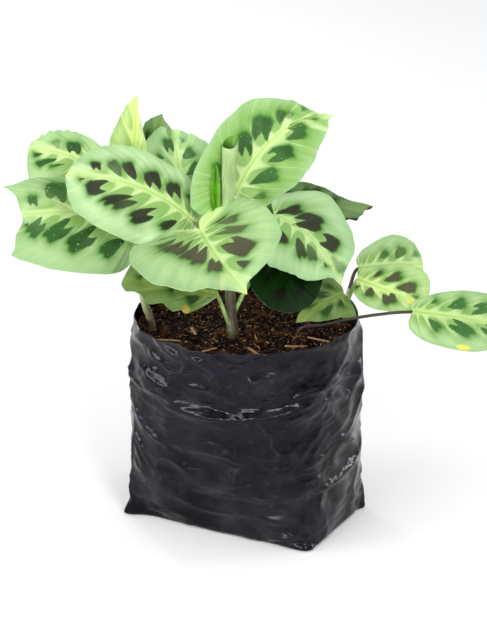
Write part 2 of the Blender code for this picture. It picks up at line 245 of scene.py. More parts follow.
# Creases that show: turn in degrees and height in millimetres along each, then how far it stands
# out, how wide it is and how much steeper its lower side is.
CREASES = [
    ([(-134, 116), (-122, 112), (-112, 108), (-104, 105), (-96, 102.5), (-88, 101), (-80, 102),
      (-68, 105), (-61, 107), (-53, 108), (-42, 110), (-30, 112)], 3.0, 7.0, 5.0),
    ([(-122, 121), (-112, 116), (-104, 112), (-97, 109)], 3.0, 9.0, 4.0),
    ([(-120, 145), (-111, 139), (-102, 137), (-92, 136)], 3.4, 9.0, 4.0),
    ([(-106, 120), (-100, 120), (-95, 118), (-88, 114), (-83, 114.5)], 1.3, 3.0, 1.5),
    ([(-130, 131), (-116, 126), (-109, 120), (-106, 116), (-101, 113)], 1.5, 3.5, 1.0),
    ([(-140, 150), (-125, 146), (-118, 138), (-112, 128)], 1.0, 4.0, 1.0),
    ([(-97, 154), (-92, 148), (-88, 146), (-81, 149), (-74, 149)], 1.4, 2.6, 3.0),
    ([(-88, 153), (-83, 153), (-79, 153), (-73, 150)], 0.9, 1.6, 1.0),
    ([(-77, 139), (-74, 143), (-70, 146), (-66, 145)], 1.0, 1.8, 2.0),
    ([(27, 114), (4, 118), (-12, 121), (-26, 121), (-35, 120), (-42, 118), (-52, 116)], 1.3, 3.2, 3.0),
    ([(-66, 116), (-59, 121), (-51, 121.5), (-43, 121)], 1.1, 2.6, 2.0),
    ([(-56, 108), (-46, 109.5), (-38, 111), (-30, 112)], 1.0, 1.6, 2.0),
    ([(26, 146), (20, 134), (12, 121), (6, 109), (0, 97), (-1, 84)], 1.8, 5.0, 1.0),
    ([(28, 112), (14, 100), (6, 88), (2, 76)], 1.6, 4.0, 1.0),
    ([(2, 77), (-1, 75), (0, 71), (6, 64)], 2.0, 3.0, 2.0),
    ([(26, 61), (12, 54), (4, 48), (0, 44), (0, 34)], 1.8, 3.5, 1.0),
    ([(1, 44), (-4, 42), (-11, 43), (-26, 42)], 1.4, 2.4, 3.0),
    ([(-60, 50), (-50, 58), (-38, 64), (-25, 66), (-12, 64)], 0.8, 4.0, 1.5),
    ([(-52, 56), (-38, 61), (-18, 59)], 0.8, 3.0, 2.0),
    ([(-68, 66), (-54, 68), (-42, 66)], 0.6, 1.8, 2.5),
    ([(-135, 94), (-126, 88), (-118, 80), (-113, 72)], 1.6, 3.0, 1.0),
    ([(-133, 71), (-122, 62), (-116, 52), (-108, 42)], 1.5, 2.6, 1.5),
    ([(-128, 60), (-121, 47), (-118, 36)], 1.1, 2.6, 1.0),
    ([(-116, 79), (-106, 72), (-100, 65)], 1.3, 2.4, 2.0),
    ([(-138, 80), (-133, 62), (-137, 44), (-142, 26)], 1.4, 4.0, 1.0),
    ([(-138, 30), (-133, 18), (-128, 6)], 1.2, 3.5, 1.0),
    ([(-121, 1), (-112, 5), (-103, 3)], -1.8, 2.2, 1.0),
    ([(-85, 81), (-80, 88), (-76, 92)], 1.0, 1.6, 2.0),
    ([(-90, 96), (-82, 97), (-70, 101)], 0.8, 3.5, 1.0),
    ([(-77, 19), (-66, 21), (-50, 24)], 0.5, 2.0, 1.5),
    ([(-58, 12), (-52, 12), (-44, 14)], 0.9, 1.5, 2.0),
    ([(-77, 1), (-68, 3.5), (-60, 5), (-49, 6), (-36, 6), (-26, 3)], -2.4, 2.0, 1.0),
    ([(-76, 3), (-62, 8.5), (-48, 10), (-34, 8)], 1.2, 2.2, 1.0),
    ([(-146, 144), (-137, 133), (-134, 115), (-138, 94)], 1.6, 4.5, 1.0),
    ([(-76, 126), (-78, 119), (-76, 116), (-71, 116)], 0.9, 1.6, 2.0),
    ([(-116, 136), (-104, 132), (-92, 133)], -1.6, 9.0, 1.0),
    ([(-96, 112), (-84, 108.5), (-74, 108)], -0.9, 3.0, 1.0),
    ([(-60, 140), (-46, 133), (-30, 135)], -0.8, 9.0, 1.0),
    ([(-30, 96), (-16, 92), (-4, 84)], -1.0, 8.0, 1.0),
]


def fold_height(turns, heights, fold):
    """How far one crease moves each point of the film, in millimetres."""
    line, rise, width, steepness = fold
    round_mm = 1.38
    path = np.array([(turn * round_mm, height) for turn, height in line], float)
    u = turns * round_mm
    nearest = np.full(u.shape, 1e9)
    side, travel = np.zeros(u.shape), np.zeros(u.shape)
    runs = np.linalg.norm(np.diff(path, axis=0), axis=1)
    total = runs.sum()
    gone = 0.0
    for start, end, run in zip(path, path[1:], runs):
        ahead = (end - start) / run
        along = np.clip((u - start[0]) * ahead[0] + (heights - start[1]) * ahead[1], 0, run)
        off_u = u - start[0] - along * ahead[0]
        off_h = heights - start[1] - along * ahead[1]
        far = np.hypot(off_u, off_h)
        closer = far < nearest
        nearest = np.where(closer, far, nearest)
        side = np.where(closer, off_h, side)
        travel = np.where(closer, (gone + along) / total, travel)
        gone += run
    spread = width * np.where(side < 0, 1 / steepness, 1.0)
    fade = np.clip(np.sin(pi * np.clip(travel, 0.04, 0.96)), 0, 1) ** 0.5
    return 1.5 * rise * fade * np.exp(-((nearest / spread) ** 1.3))


chance = np.random.default_rng(7)
folds = list(CREASES)
for _ in range(150):
    turn, height = chance.uniform(-180, 180), chance.uniform(4, 150)
    shown = -130 < turn < 20
    reach, lean = chance.uniform(8, 34) * (0.6 if shown else 1.3), chance.normal(0, 24)
    bend = chance.normal(0, 5)
    line = []
    for share in (-0.5, -0.2, 0.15, 0.5):
        line.append((turn + share * reach * cos(radians(lean)) / 1.38,
                     height + share * reach * sin(radians(lean)) + bend * (0.25 - share**2)))
    rise = chance.uniform(0.2, 0.7) * (0.85 if shown else 1.0)
    folds.append((line, rise, chance.uniform(1.2, 3.6), chance.uniform(1.0, 3.0)))

turns = np.arange(film_columns) * 2 * pi / film_columns + pi
steps = np.linspace(0, 1, film_rows + 1)
shares = steps + 0.035 * np.sin(2 * pi * steps)
turn_grid, share_grid = np.meshgrid(turns, shares)
degrees_round = np.degrees((turn_grid + pi) % (2 * pi) - pi)
height_mm = share_grid * BAG_HEIGHT / MM
film_x, film_y = bag_outline(turn_grid, share_grid)
film = np.stack([film_x, film_y, share_grid * BAG_HEIGHT], -1)


def grid_normals(grid, wraps):
    """Unit normals of a grid of points, whose rows go up and whose columns go round."""
    if wraps:
        across = np.roll(grid, -1, axis=1) - np.roll(grid, 1, axis=1)
    else:
        across = np.gradient(grid, axis=1)
    up = np.gradient(grid, axis=0)
    made = np.cross(across, up)
    return made / np.maximum(np.linalg.norm(made, axis=-1, keepdims=True), 1e-12)


def crumple(points, scale, seed):
    """Ridged noise, which folds like film: sharp ridges with flat faces between them."""
    made = np.empty(points.shape[:2])
    shift = Vector((seed * 3.7, seed * 1.3, seed * 7.1))
    for index in np.ndindex(made.shape):
        x, y, z = points[index] * scale
        place = Vector((x, y, z * 1.6)) + shift
        warp = noise.noise_vector(place * 0.7) * 0.5
        made[index] = 1 - 2 * abs(noise.noise(place + warp))
    return made


standing = np.zeros(film.shape[:2])
for fold in folds:
    for whole in (-360, 0, 360):
        moved = ([(turn + whole, height) for turn, height in fold[0]], *fold[1:])
        reach = [turn for turn, _ in moved[0]]
        if max(reach) > -200 and min(reach) < 200:
            standing += fold_height(degrees_round, height_mm, moved)
broad_ridges, fine_ridges = crumple(film, 28, 1), crumple(film, 80, 2)
calmer = 1 - 0.55 * sum(np.exp(-(((degrees_round - turn + 180) % 360 - 180) / 24) ** 2) for turn in (-152, 28))
upper = 1 + 0.5 * np.clip((height_mm - 92) / 15, 0, 1)
standing += calmer * (2.7 * upper * (broad_ridges - 0.35) + 0.55 * (fine_ridges - 0.35))
bulge = np.sin(pi * np.clip(share_grid, 0, 1))
standing += 1.3 * bulge * np.array([[noise.noise(Vector(p * 18)) for p in row] for row in film])
near_soil = np.exp(-((height_mm - 148) / 9) ** 2)
standing = np.where(standing < 0, standing * (1 - 0.85 * near_soil), standing)
standing = np.clip(standing, -4.0, 5.5)
standing *= np.clip(height_mm / 2.0, 0, 1)
film += grid_normals(film, True) * (standing * MM)[..., None]
for corner_turn, out, droop, spread in ((-135, (-7.5, -11), 20, 13), (-45, (8, -6), 14, 20), (45, (11, 1), 24, 16),
                                        (135, (-9, 8), 20, 14)):
    away = (degrees_round - corner_turn + 180) % 360 - 180
    ear = np.exp(-((away / spread) ** 2)) * np.exp(-((height_mm / droop) ** 1.2))
    film += ear[..., None] * np.array([*out, 0]) * MM
under = np.clip(1 - height_mm / 2.5, 0, 1) ** 2
film[..., :2] *= (1 - 0.018 * under)[..., None]
rim_wave = 0.5 * np.sin(3 * turn_grid + 0.8) + 0.35 * np.sin(7 * turn_grid + 2.1) + 0.2 * np.sin(17 * turn_grid)
film[..., 2] += np.clip((height_mm - 140) / 15, 0, 1) * (rim_wave - 0.4) * MM
film[..., 2] = np.maximum(film[..., 2], 0)

bm = bmesh.new()
rings = [[bm.verts.new(point) for point in row] for row in film]
for lower, upper in zip(rings, rings[1:]):
    for i in range(film_columns):
        j = (i + 1) % film_columns
        bm.faces.new((lower[i], lower[j], upper[j], upper[i]))
inner_ring = rings[0]
for share in (0.8, 0.5, 0.2):
    next_ring = [bm.verts.new((x * share, y * share, 0.0)) for x, y, _ in film[0]]
    for i in range(film_columns):
        j = (i + 1) % film_columns
        bm.faces.new((next_ring[i], next_ring[j], inner_ring[j], inner_ring[i]))
    inner_ring = next_ring
bm.faces.new(reversed(inner_ring))
bag_mesh = bpy.data.meshes.new("film_bag")
bm.to_mesh(bag_mesh)
bm.free()
ridges = np.zeros((len(bag_mesh.vertices), 3), np.float32)
ridges[: broad_ridges.size, 0] = broad_ridges.ravel()
ridges[: broad_ridges.size, 1] = fine_ridges.ravel()
bag_mesh.attributes.new("ridges", "FLOAT_VECTOR", "POINT").data.foreach_set("vector", ridges.ravel())
bag_mesh.shade_smooth()
bag = bpy.data.objects.new("film_bag", bag_mesh)
scene.collection.objects.link(bag)
film_skin = bag.modifiers.new("film", "SOLIDIFY")
film_skin.thickness = film_thickness
film_skin.offset = -1

bag_finish, bag_shader, start = new_finish("black_polythene", IOR=1.42, Specular_IOR_Level=0.22)
bag_shader.inputs["Specular Tint"].default_value = (0.90, 0.90, 1.0, 1)
where = start.places()
dust = where.stretched((1, 1, 1.5)).noise(26, 6, 0.62).rise(0.45, 0.8)
haze = where.stretched((1, 1, 1.4)).noise(16, 5, 0.62).rise(0.4, 0.72)
specks = where.noise(900, 2, 0.6).rise(0.74, 0.80)
film_black = haze.tint(paint(2, 2, 6), paint(20, 19, 27))
film_colour = (dust * 0.55).tint(film_black, paint(58, 52, 54))
ridges = start.attribute("ridges")
# Painted highlight: the tops of the crumple ridges are painted a paler grey, partly as scuffed, whitened film and
# partly as painted sheen.
scuffs_and_sheen = ridges.part(0).rise(0.9, 1.0) * 0.25 + ridges.part(1).rise(0.85, 1.0) * 0.2
film_colour = (scuffs_and_sheen * where.noise(70, 4, 0.6).rise(0.45, 0.65)).tint(film_colour, paint(78, 73, 84))
feed(bag_shader, (specks * 0.6).tint(film_colour, paint(120, 108, 98)), "Base Color")
streaks = where.stretched((1, 1, 5)).noise(60, 4, 0.7)
feed(bag_shader, (0.1 + 0.07 * haze + 0.12 * dust + 0.05 * streaks).smaller(0.7), "Roughness")
facets = (where.stretched((1, 1, 2.4)).noise(36, 3, 0.5) - 0.5).size()
small_facets = (where.stretched((1, 1, 3)).noise(130, 2, 0.5) - 0.5).size()
feed(bag_shader, (0 - facets * 0.6 - small_facets * 0.12 - streaks * 0.03).bump(0.8, 0.0016), "Normal")
bag_mesh.materials.append(bag_finish)
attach(bag, "root")
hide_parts("grow_bag")

# The potting soil is dark peat, filled to just under the rim and mounded in the middle. Crumbs
# and splinters of bark and straw lie all over it.
SOIL_MOUND = 5 * MM
soil_columns = 200


def soil_height(x, y):
    return SOIL_EDGE_HEIGHT + SOIL_MOUND * np.maximum(0.0, 1 - (np.hypot(x, y) / BAG_MOUTH_RADIUS) ** 2)


soil_turns = np.arange(soil_columns) * 2 * pi / soil_columns
rings = []
for height, inset in ((2.5, 6.0), (50, 6.0), (100, 6.0), (135, 5.0), (142, 3.0)):
    xs, ys = bag_outline(soil_turns, height * MM / BAG_HEIGHT, inset * MM)
    rings.append(np.stack([xs, ys, np.full(soil_columns, height * MM)], -1))
edge_x, edge_y = bag_outline(soil_turns, SOIL_EDGE_HEIGHT / BAG_HEIGHT, 0.9 * MM)
soil_rings = 72
hollows = [0.0] * (5 * soil_columns)
for i in range(soil_rings):
    share = 1 - i / soil_rings
    xs, ys = edge_x * share, edge_y * share
    lumps = []
    for x, y in zip(xs, ys):
        place = Vector((x, y, 0))
        clod = noise.turbulence(place * 75, 3, False) * 4.6
        grit = noise.turbulence(place * 260, 3, True) * 1.6
        lumps.append((clod + grit - 3.4) * min(1.0, (1 - share) * 14 + 0.35))
    hollows += lumps
    rings.append(np.stack([xs, ys, soil_height(xs, ys) + np.array(lumps) * MM], -1))
bm = bmesh.new()
rows = [[bm.verts.new(point) for point in row] for row in rings]
for lower, upper in zip(rows, rows[1:]):
    for i in range(soil_columns):
        j = (i + 1) % soil_columns
        bm.faces.new((lower[i], lower[j], upper[j], upper[i]))
bm.faces.new(reversed(rows[0]))
bm.faces.new(rows[-1])
soil_mesh = bpy.data.meshes.new("peat_soil")
bm.to_mesh(soil_mesh)
bm.free()
hollow = np.repeat(np.array(hollows, np.float32)[:, None], 3, axis=1)
soil_mesh.attributes.new("hollow", "FLOAT_VECTOR", "POINT").data.foreach_set("vector", hollow.ravel())
soil_mesh.shade_smooth()
soil = bpy.data.objects.new("peat_soil", soil_mesh)
scene.collection.objects.link(soil)
soil_finish, soil_shader, start = new_finish("dark_peat", Roughness=0.95)
soil_shader.inputs["Specular IOR Level"].default_value = 0.08
where = start.places()
crumbly = where.noise(170, 6, 0.7)
fibres = where.stretched((1, 2.5, 1)).noise(420, 3, 0.6).rise(0.56, 0.72)
peat = crumbly.rise(0.3, 0.75).tint(paint(12, 7, 4), paint(98, 58, 32))
# Painted shade: the peat turns near black in the hollows between its clods.
peat = start.attribute("hollow").part(0).rise(-0.2, -2.2).tint(peat, paint(9, 6, 4))
feed(soil_shader, (fibres * 0.5).tint(peat, paint(124, 80, 44)), "Base Color")
feed(soil_shader, crumbly.bump(0.9, 0.002), "Normal")
soil_mesh.materials.append(soil_finish)
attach(soil, "root")
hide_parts("potting_soil")

# Splinters of bark, straw and root fibre, each a thin bent sliver that lies on the peat.
splinter_count = 1500


def sliver_verts(place, length, width, turn, tilt, curl, roll):
    """Ten corners of a sliver: five places along it, two at each, with pointed ends."""
    ahead = Vector((cos(turn) * cos(tilt), sin(turn) * cos(tilt), sin(tilt)))
    side = Vector((-sin(turn), cos(turn), 0)).lerp(Vector((0, 0, 1)), roll).normalized()
    up = ahead.cross(side)
    made = []
    for share, full in ((-0.5, 0.15), (-0.25, 0.8), (0.05, 1.0), (0.3, 0.7), (0.5, 0.12)):
        middle = place + ahead * share * length + up * curl * length * (0.25 - share**2)
        for sign in (-1, 0, 1):
            made.append(middle + side * sign * full * width / 2 + up * (0.35 * width * full if sign == 0 else 0))
        made.append(middle - up * 0.2 * width * full)
    return made


def slivers(name, count, lengths, widths, seed, centre=None):
    """One mesh of many slivers, with a tone of its own on each."""
    draw = np.random.default_rng(seed)
    verts, faces, tones = [], [], []
    while len(tones) < count * 20:
        radius = (BAG_MOUTH_RADIUS - 3.5 * MM) * draw.uniform() ** 0.5
        angle = draw.uniform(0, 2 * pi)
        x, y = radius * cos(angle), radius * sin(angle)
        length = draw.uniform(*lengths) * MM * draw.uniform(0.5, 1.0)
        width = draw.uniform(*widths) * MM
        turn = draw.uniform(0, 2 * pi)
        if np.hypot(x + cos(turn) * length / 2, y + sin(turn) * length / 2) > BAG_MOUTH_RADIUS - 2 * MM:
            continue
        if np.hypot(x - cos(turn) * length / 2, y - sin(turn) * length / 2) > BAG_MOUTH_RADIUS - 2 * MM:
            continue
        place = Vector((x, y, soil_height(x, y) + draw.uniform(-0.6, 1.0) * MM))
        first = len(verts)
        verts += sliver_verts(place, length, width, turn, draw.normal(0, 0.3), draw.normal(0, 0.8),
                              draw.uniform(0, 0.6))
        for k in range(4):
            a, b = first + 4 * k, first + 4 * k + 4
            faces += [(a, b, b + 1, a + 1), (a + 1, b + 1, b + 2, a + 2),
                      (a + 2, b + 2, b + 3, a + 3), (a + 3, b + 3, b, a)]
        faces += [(first + 3, first, first + 1, first + 2)[::1], (first + 16, first + 19, first + 18, first + 17)]
        tones += [draw.uniform()] * 20
    mesh = bpy.data.meshes.new(name)
    mesh.from_pydata([tuple(v) for v in verts], [], faces)
    tone = mesh.attributes.new("tone", "FLOAT_VECTOR", "POINT")
    tone.data.foreach_set("vector", np.repeat(np.array(tones)[:, None], 3, axis=1).ravel())
    mesh.shade_smooth()
    made = bpy.data.objects.new(name, mesh)
    scene.collection.objects.link(made)
    return made


splinter_finish, splinter_shader, start = new_finish("bark_and_straw", Roughness=0.85)
splinter_shader.inputs["Specular IOR Level"].default_value = 0.25
tone = start.attribute("tone").part(0)
grain = start.places().noise(700, 3).rise(0.3, 0.7)
dull = tone.rise(0.2, 0.85).tint(paint(30, 17, 9), paint(108, 68, 38))
bright = tone.rise(0.8, 1.0).tint(dull, paint(196, 156, 104))
feed(splinter_shader, (grain * 0.45).tint(bright, paint(60, 38, 26)), "Base Color")
feed(splinter_shader, grain.bump(0.4, 0.0003), "Normal")
for name, count, lengths, widths, seed in (("fine_splinters", 2500, (1.5, 4.2), (0.35, 1.0), 3),
                                           ("coarse_splinters", 260, (3.5, 8.0), (0.8, 2.0), 4)):
    scattered = slivers(name, count, lengths, widths, seed)
    scattered.data.materials.append(splinter_finish)
    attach(scattered, "root")

# Six longer pieces of split straw on top of the peat: flat, ribbed along and a little bent.
STRAWS = [(-58, -38, 22, 10), (-28, -60, 16, 60), (6, -64, 20, -25), (34, -52, 14, 35),
          (-38, -24, 15, -50), (52, -38, 18, 5)]
straw_width, straw_gap = 2.2 * MM, 0.8 * MM


def in_bag(points):
    """Points of the plant's own frame, in millimetres, turned into the bag's frame, in metres."""
    x, y, z = np.moveaxis(np.asarray(points, float), -1, 0) * MM
    c, s = cos(VIEW_TURN), sin(VIEW_TURN)
    return np.stack([x * c - y * s, x * s + y * c, z], -1)


straw_finish, straw_shader, start = new_finish("dry_straw", Roughness=0.7)
straw_ribs = start.places().stretched((3, 3, 1)).noise(500, 3, 0.6)
feed(straw_shader, straw_ribs.rise(0.35, 0.7).tint(paint(172, 134, 84), paint(104, 72, 42)), "Base Color")
feed(straw_shader, straw_ribs.bump(0.4, 0.0003), "Normal")
for number, (x, y, length, turn) in enumerate(STRAWS, 1):
    place = in_bag((x, y, 0))
    bm = bmesh.new()
    rows = []
    for share in np.linspace(-0.5, 0.5, 9):
        ragged = 1 - 0.35 * abs(2 * share) ** 6 + 0.08 * sin(9 * share + number)
        row = []
        for angle in np.arange(8) * pi / 4:
            sideways = cos(angle) * straw_width / 2 * ragged
            upward = sin(angle) * 0.42 * MM * ragged + 0.25 * MM * cos(2 * angle)
            row.append((share * length * MM, sideways + 0.5 * MM * sin(3 * share + number), upward))
        rows.append([bm.verts.new(point) for point in row])
    for near, far in zip(rows, rows[1:]):
        for i in range(8):
            j = (i + 1) % 8
            bm.faces.new((near[i], far[i], far[j], near[j]))
    bm.faces.new(rows[0])
    bm.faces.new(reversed(rows[-1]))
    bmesh.ops.recalc_face_normals(bm, faces=bm.faces)
    steep = 2 * SOIL_MOUND / BAG_MOUTH_RADIUS**2
    slope = Vector((steep * place[0], steep * place[1], 1)).normalized()
    for vert in bm.verts:
        flat_x = vert.co.x * cos(radians(turn)) - vert.co.y * sin(radians(turn))
        flat_y = vert.co.x * sin(radians(turn)) + vert.co.y * cos(radians(turn))
        ground = soil_height(place[0] + flat_x, place[1] + flat_y)
        vert.co = Vector((place[0] + flat_x, place[1] + flat_y, ground + vert.co.z)) + slope * straw_gap
    mesh = bpy.data.meshes.new(f"split_straw_{number}")
    bm.to_mesh(mesh)
    bm.free()
    mesh.shade_smooth()
    mesh.materials.append(straw_finish)
    straw = bpy.data.objects.new(f"split_straw_{number}", mesh)
    scene.collection.objects.link(straw)
    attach(straw, "root")
    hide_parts(f"straw_{number}")

# Short rooted stems. Each grows out of the peat, thickens at its joints and ends under its
# youngest leaf; the main one keeps a dry brown sheath round its foot. Its greens are darker and
# its brown foot reaches higher as painted shade from the leaves over it.
STEMS = {
    "main_stem": ([(-10, -28, 118), (-10, -28, 148), (-12, -19, 182), (-13, -4, 232)], [6.0, 4.5, 3.6, 3.0]),
    "left_stem": ([(-69, -5, 122), (-69, -5, 147), (-76, -2, 172), (-80, 10, 203), (-80, 20, 228)],
                  [4.0, 3.0, 2.6, 2.2, 1.8]),
    "right_stem": ([(72, 10, 122), (72, 10, 147), (73, 12, 158), (75, 16, 167)], [3.0, 2.0, 1.6, 1.5]),
}


def unit(v):
    return np.asarray(v, float) / np.linalg.norm(v, axis=-1, keepdims=True)


def smooth_path(points, steps):
    """A smooth curve through the points, and each made point's place in the list of them."""
    points = np.asarray(points, float)
    padded = np.vstack([2 * points[0] - points[1], points, 2 * points[-1] - points[-2]])
    made, shares = [], []
    spans = len(points) - 1
    for i in range(spans):
        a, b, c, d = padded[i : i + 4]
        for t in np.arange(steps) / steps:
            made.append(0.5 * (2 * b + (c - a) * t + (2 * a - 5 * b + 4 * c - d) * t**2
                               + (3 * b - a - 3 * c + d) * t**3))
            shares.append(i + t)
    made.append(points[-1])
    shares.append(spans)
    return np.array(made), np.array(shares)


def shoot(name, path, radii, sides, ribs=0.0):
    """A closed round stem or stalk along a path, with rounded ends and slight ribs."""
    first, last = unit(path[0] - path[1]), unit(path[-1] - path[-2])
    points = [path[0] + first * radii[0] * cos(radians(a)) for a in (15, 50)] + list(path)
    points += [path[-1] + last * radii[-1] * cos(radians(a)) for a in (50, 15)]
    widths = [radii[0] * sin(radians(a)) for a in (15, 50)] + list(radii)
    widths += [radii[-1] * sin(radians(a)) for a in (50, 15)]
    points, widths = np.array(points), np.array(widths)
    ahead = unit(np.gradient(points, axis=0))
    side = unit(np.cross(ahead[0], (0.3, 0.2, -0.9)))
    bm = bmesh.new()
    rows = []
    for point, width, forward in zip(points, widths, ahead):
        side = unit(side - (side @ forward) * forward)
        other = np.cross(forward, side)
        row = []
        for angle in np.arange(sides) * 2 * pi / sides:
            reach = width * (1 + ribs * cos(4 * angle))
            row.append(bm.verts.new(point + side * cos(angle) * reach + other * sin(angle) * reach))
        rows.append(row)
    for near, far in zip(rows, rows[1:]):
        for i in range(sides):
            j = (i + 1) % sides
            bm.faces.new((near[i], near[j], far[j], far[i]))
    bm.faces.new(reversed(rows[0]))
    bm.faces.new(rows[-1])
    mesh = bpy.data.meshes.new(name)
    bm.to_mesh(mesh)
    bm.free()
    mesh.shade_smooth()
    made = bpy.data.objects.new(name, mesh)
    scene.collection.objects.link(made)
    return made


def stem_axis(name, steps):
    points, radii = STEMS[name]
    path, shares = smooth_path(in_bag(points), steps)
    return path, np.interp(shares, range(len(radii)), radii) * MM


def stalk_finish(name, pale, deep, brown, low, high):
    """Fleshy stalk: fine streaks along it, deeper green in patches and brown at its foot."""
    finish, shader, start = new_finish(name, Roughness=0.42)
    where = start.places()
    streak = where.stretched((1, 1, 0.12)).noise(900, 3, 0.6).rise(0.35, 0.7)
    patch = where.noise(45, 3).rise(0.35, 0.7)
    green = streak.tint(pale, deep)
    green = (patch * 0.55).tint(green, deep)
    foot = where.part(2).rise(high, low) * (0.7 + 0.3 * where.noise(160, 3).rise(0.4, 0.6))
    feed(shader, foot.tint(green, brown), "Base Color")
    feed(shader, (0.38 + 0.2 * streak), "Roughness")
    feed(shader, streak.bump(0.25, 0.0003), "Normal")
    return finish


stem_finishes = {
    # The main stem: a real brown sheath at its foot, with painted shade in its darker greens and its higher brown.
    "main_stem": stalk_finish("stem_green", paint(136, 150, 84), paint(78, 98, 44), paint(56, 40, 24), 0.168, 0.205),
    "left_stem": stalk_finish("stem_olive", paint(170, 172, 128), paint(118, 124, 78), paint(84, 66, 44), 0.150, 0.168),
    "right_stem": stalk_finish("stem_pale", paint(206, 212, 182), paint(150, 158, 118), paint(84, 66, 44), 0.148, 0.158),
}
for name in STEMS:
    path, radii = stem_axis(name, 10)
    up_share = np.linspace(0, 1, len(path))
    joints = sum(np.exp(-(((up_share - place) / 0.02) ** 2)) for place in (0.38, 0.6, 0.8))
    stem = shoot(f"{name}_grown", path, radii * (0.95 + 0.12 * joints), 20, 0.03)
    stem.data.materials.append(stem_finishes[name])
    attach(stem, "root")
    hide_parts(name)

# The leaves: each blade is one soft sheet on a slim fleshy stalk, and the stalk joins just under
# the blade's base. Side veins arch from the midrib to the edge, and the blade swells between them.
STALK_RADIUS = 1.3 * MM
CAD_BLADE = 0.8 * MM
CAD_GAP = 0.3 * MM
blade_thickness = 0.45 * MM
BROWN, OLIVE, GREEN = (42, 42, 28), (68, 65, 47), (36, 76, 28)
# base and tip end the midrib, in millimetres of the plant's frame; rise and bow bend it, facing is
# its compass turn and tilt, left and right are half-widths at the base, thirds and tip.
# deep darkens a whole leaf as painted shade, most of all l, which lies in shade under d and e and has near-black
# blotches for the same reason; rim sets the pale outer band, which is partly painted sheen.
LEAVES = {
    "a": dict(base=(-98, 35, 246), tip=(-159, 42, 268), rise=4, bow=4, facing=(20, 40),
              left=(24, 28, 36, 50), right=(12, 18, 20, 12), stem="left_stem", share=0.9,
              scallop=(13, 1.3, 0.5), blotch=GREEN, specks=0.5),
    "b": dict(base=(-77, 8, 225), tip=(-162, -8, 233), rise=4, bow=2, facing=(15, 34), horn=(0.22, 0.22),
              left=(42, 45, 46, 40), right=(28, 26, 28, 34), stem="left_stem", share=0.72,
              blotch=(36, 80, 26), specks=1.0, deep=0.1),
    "c": dict(base=(-39, 6, 224), tip=(-125, -18, 265), rise=6, bow=8, facing=(37, 24),
              left=(16, 38, 43, 38), right=(34, 31, 30, 24), lobe=(0.1, 0.1), stem="main_stem", share=0.8,
              blotch=BROWN, rim=(188, 218, 164)),
    "d": dict(base=(-33, -28, 229), tip=(-1, -121, 214), rise=8, bow=2, facing=(-61, 58),
              fold=(0, 18), left=(58, 50, 54, 6), right=(76, 62, 47, 6), lobe=(0.3, 0.3),
              stem="main_stem", share=0.66, blotch=OLIVE, star=1.0, deep=0.1),
    "e": dict(base=(20, 0, 231), tip=(67, -32, 190), rise=5, bow=-5, facing=(35, 40),
              left=(42, 38, 33, 16), right=(30, 40, 38, 22), lobe=(0.2, 0.2), stem="main_stem", share=0.78,
              blotch=(42, 42, 30), mint=0.15),
    "f": dict(base=(-8, 6, 245), tip=(63, 46, 291), rise=4, bow=-15, crest=0.6, facing=(10, 10),
              left=(40, 37, 23, 6), right=(32, 33, 32, 24), lobe=(0.1, 0.1), stem="main_stem", share=0.92,
              blotch=(46, 90, 36), specks=0.5, rim=(138, 180, 98)),
    "h": dict(base=(-82, 28, 250), tip=(-79, 30, 311), facing=(0, 0), fold=(15, 40),
              left=(16, 17, 13, 5), right=(8, 9, 7, 3), stem="left_stem", share=0.98, warm=0.35),
    "i": dict(base=(-72, 40, 262), tip=(-61, 45, 293), facing=(0, 0), fold=(30, 30),
              left=(12, 13, 12, 10), right=(8, 8, 6, 4), stem="left_stem", share=0.84, blotch=(26, 40, 14),
              deep=0.35),
    "j": dict(base=(-46, 20, 236), tip=(-53, 40, 282), rise=3, facing=(0, 30),
              left=(18, 22, 24, 24), right=(22, 26, 25, 20), stem="main_stem", share=0.72,
              blotch=(52, 92, 44), mint=0.12, specks=0.5),
    "k": dict(base=(-2, 27, 228), tip=(91, 34, 226), rise=5, facing=(10, 40),
              left=(16, 22, 13, 1), right=(16, 18, 18, 14), stem="main_stem", share=0.84,
              blotch=(44, 52, 32), mint=0.1, deep=0.5),
    "l": dict(base=(18, -4, 204), tip=(39, -38, 171), rise=5, facing=(0, 50),
              left=(24, 28, 26, 20), right=(24, 26, 26, 22), stem="main_stem", share=0.5,
              blotch=(8, 16, 4), deep=1.1),
    "m": dict(base=(71, 4, 169), tip=(36, -30, 159), rise=3, facing=(0, 50),
              left=(36, 18, 12, 6), right=(16, 25, 20, -10), stem="right_stem", share=0.6,
              blotch=(36, 70, 14), deep=0.42, warm=0.35),
    "n": dict(base=(83, 35, 178), tip=(131, 40, 179), rise=3, facing=(0, 35),
              left=(16, 20, 24, 20), right=(18, 20, 20, 18), stem="right_stem", share=0.97,
              blotch=(84, 110, 54)),
    "o": dict(base=(81, 12, 177), tip=(129, -8, 163), rise=3, lobe=(0.04, 0.04), facing=(0, 35),
              left=(16, 20, 26, 32), right=(18, 17, 14, 8), stem="right_stem", share=0.75,
              blotch=(66, 66, 44), warm=0.15),
    "p": dict(base=(120, -18, 163), tip=(190, -28, 155), rise=3, facing=(0, 35),
              left=(13, 18, 22, 22), right=(25, 24, 25, 24), stem=None, share=0,
              blotch=(50, 98, 38), deep=0.12, specks=0.3),
    "q": dict(base=(-20, -32, 180), tip=(-89, -40, 195), rise=3, facing=(0, 40),
              left=(8, 15, 15, 14), right=(14, 16, 16, 12), stem="main_stem", share=0.45,
              blotch=(30, 62, 14), deep=0.42, warm=0.4),
}
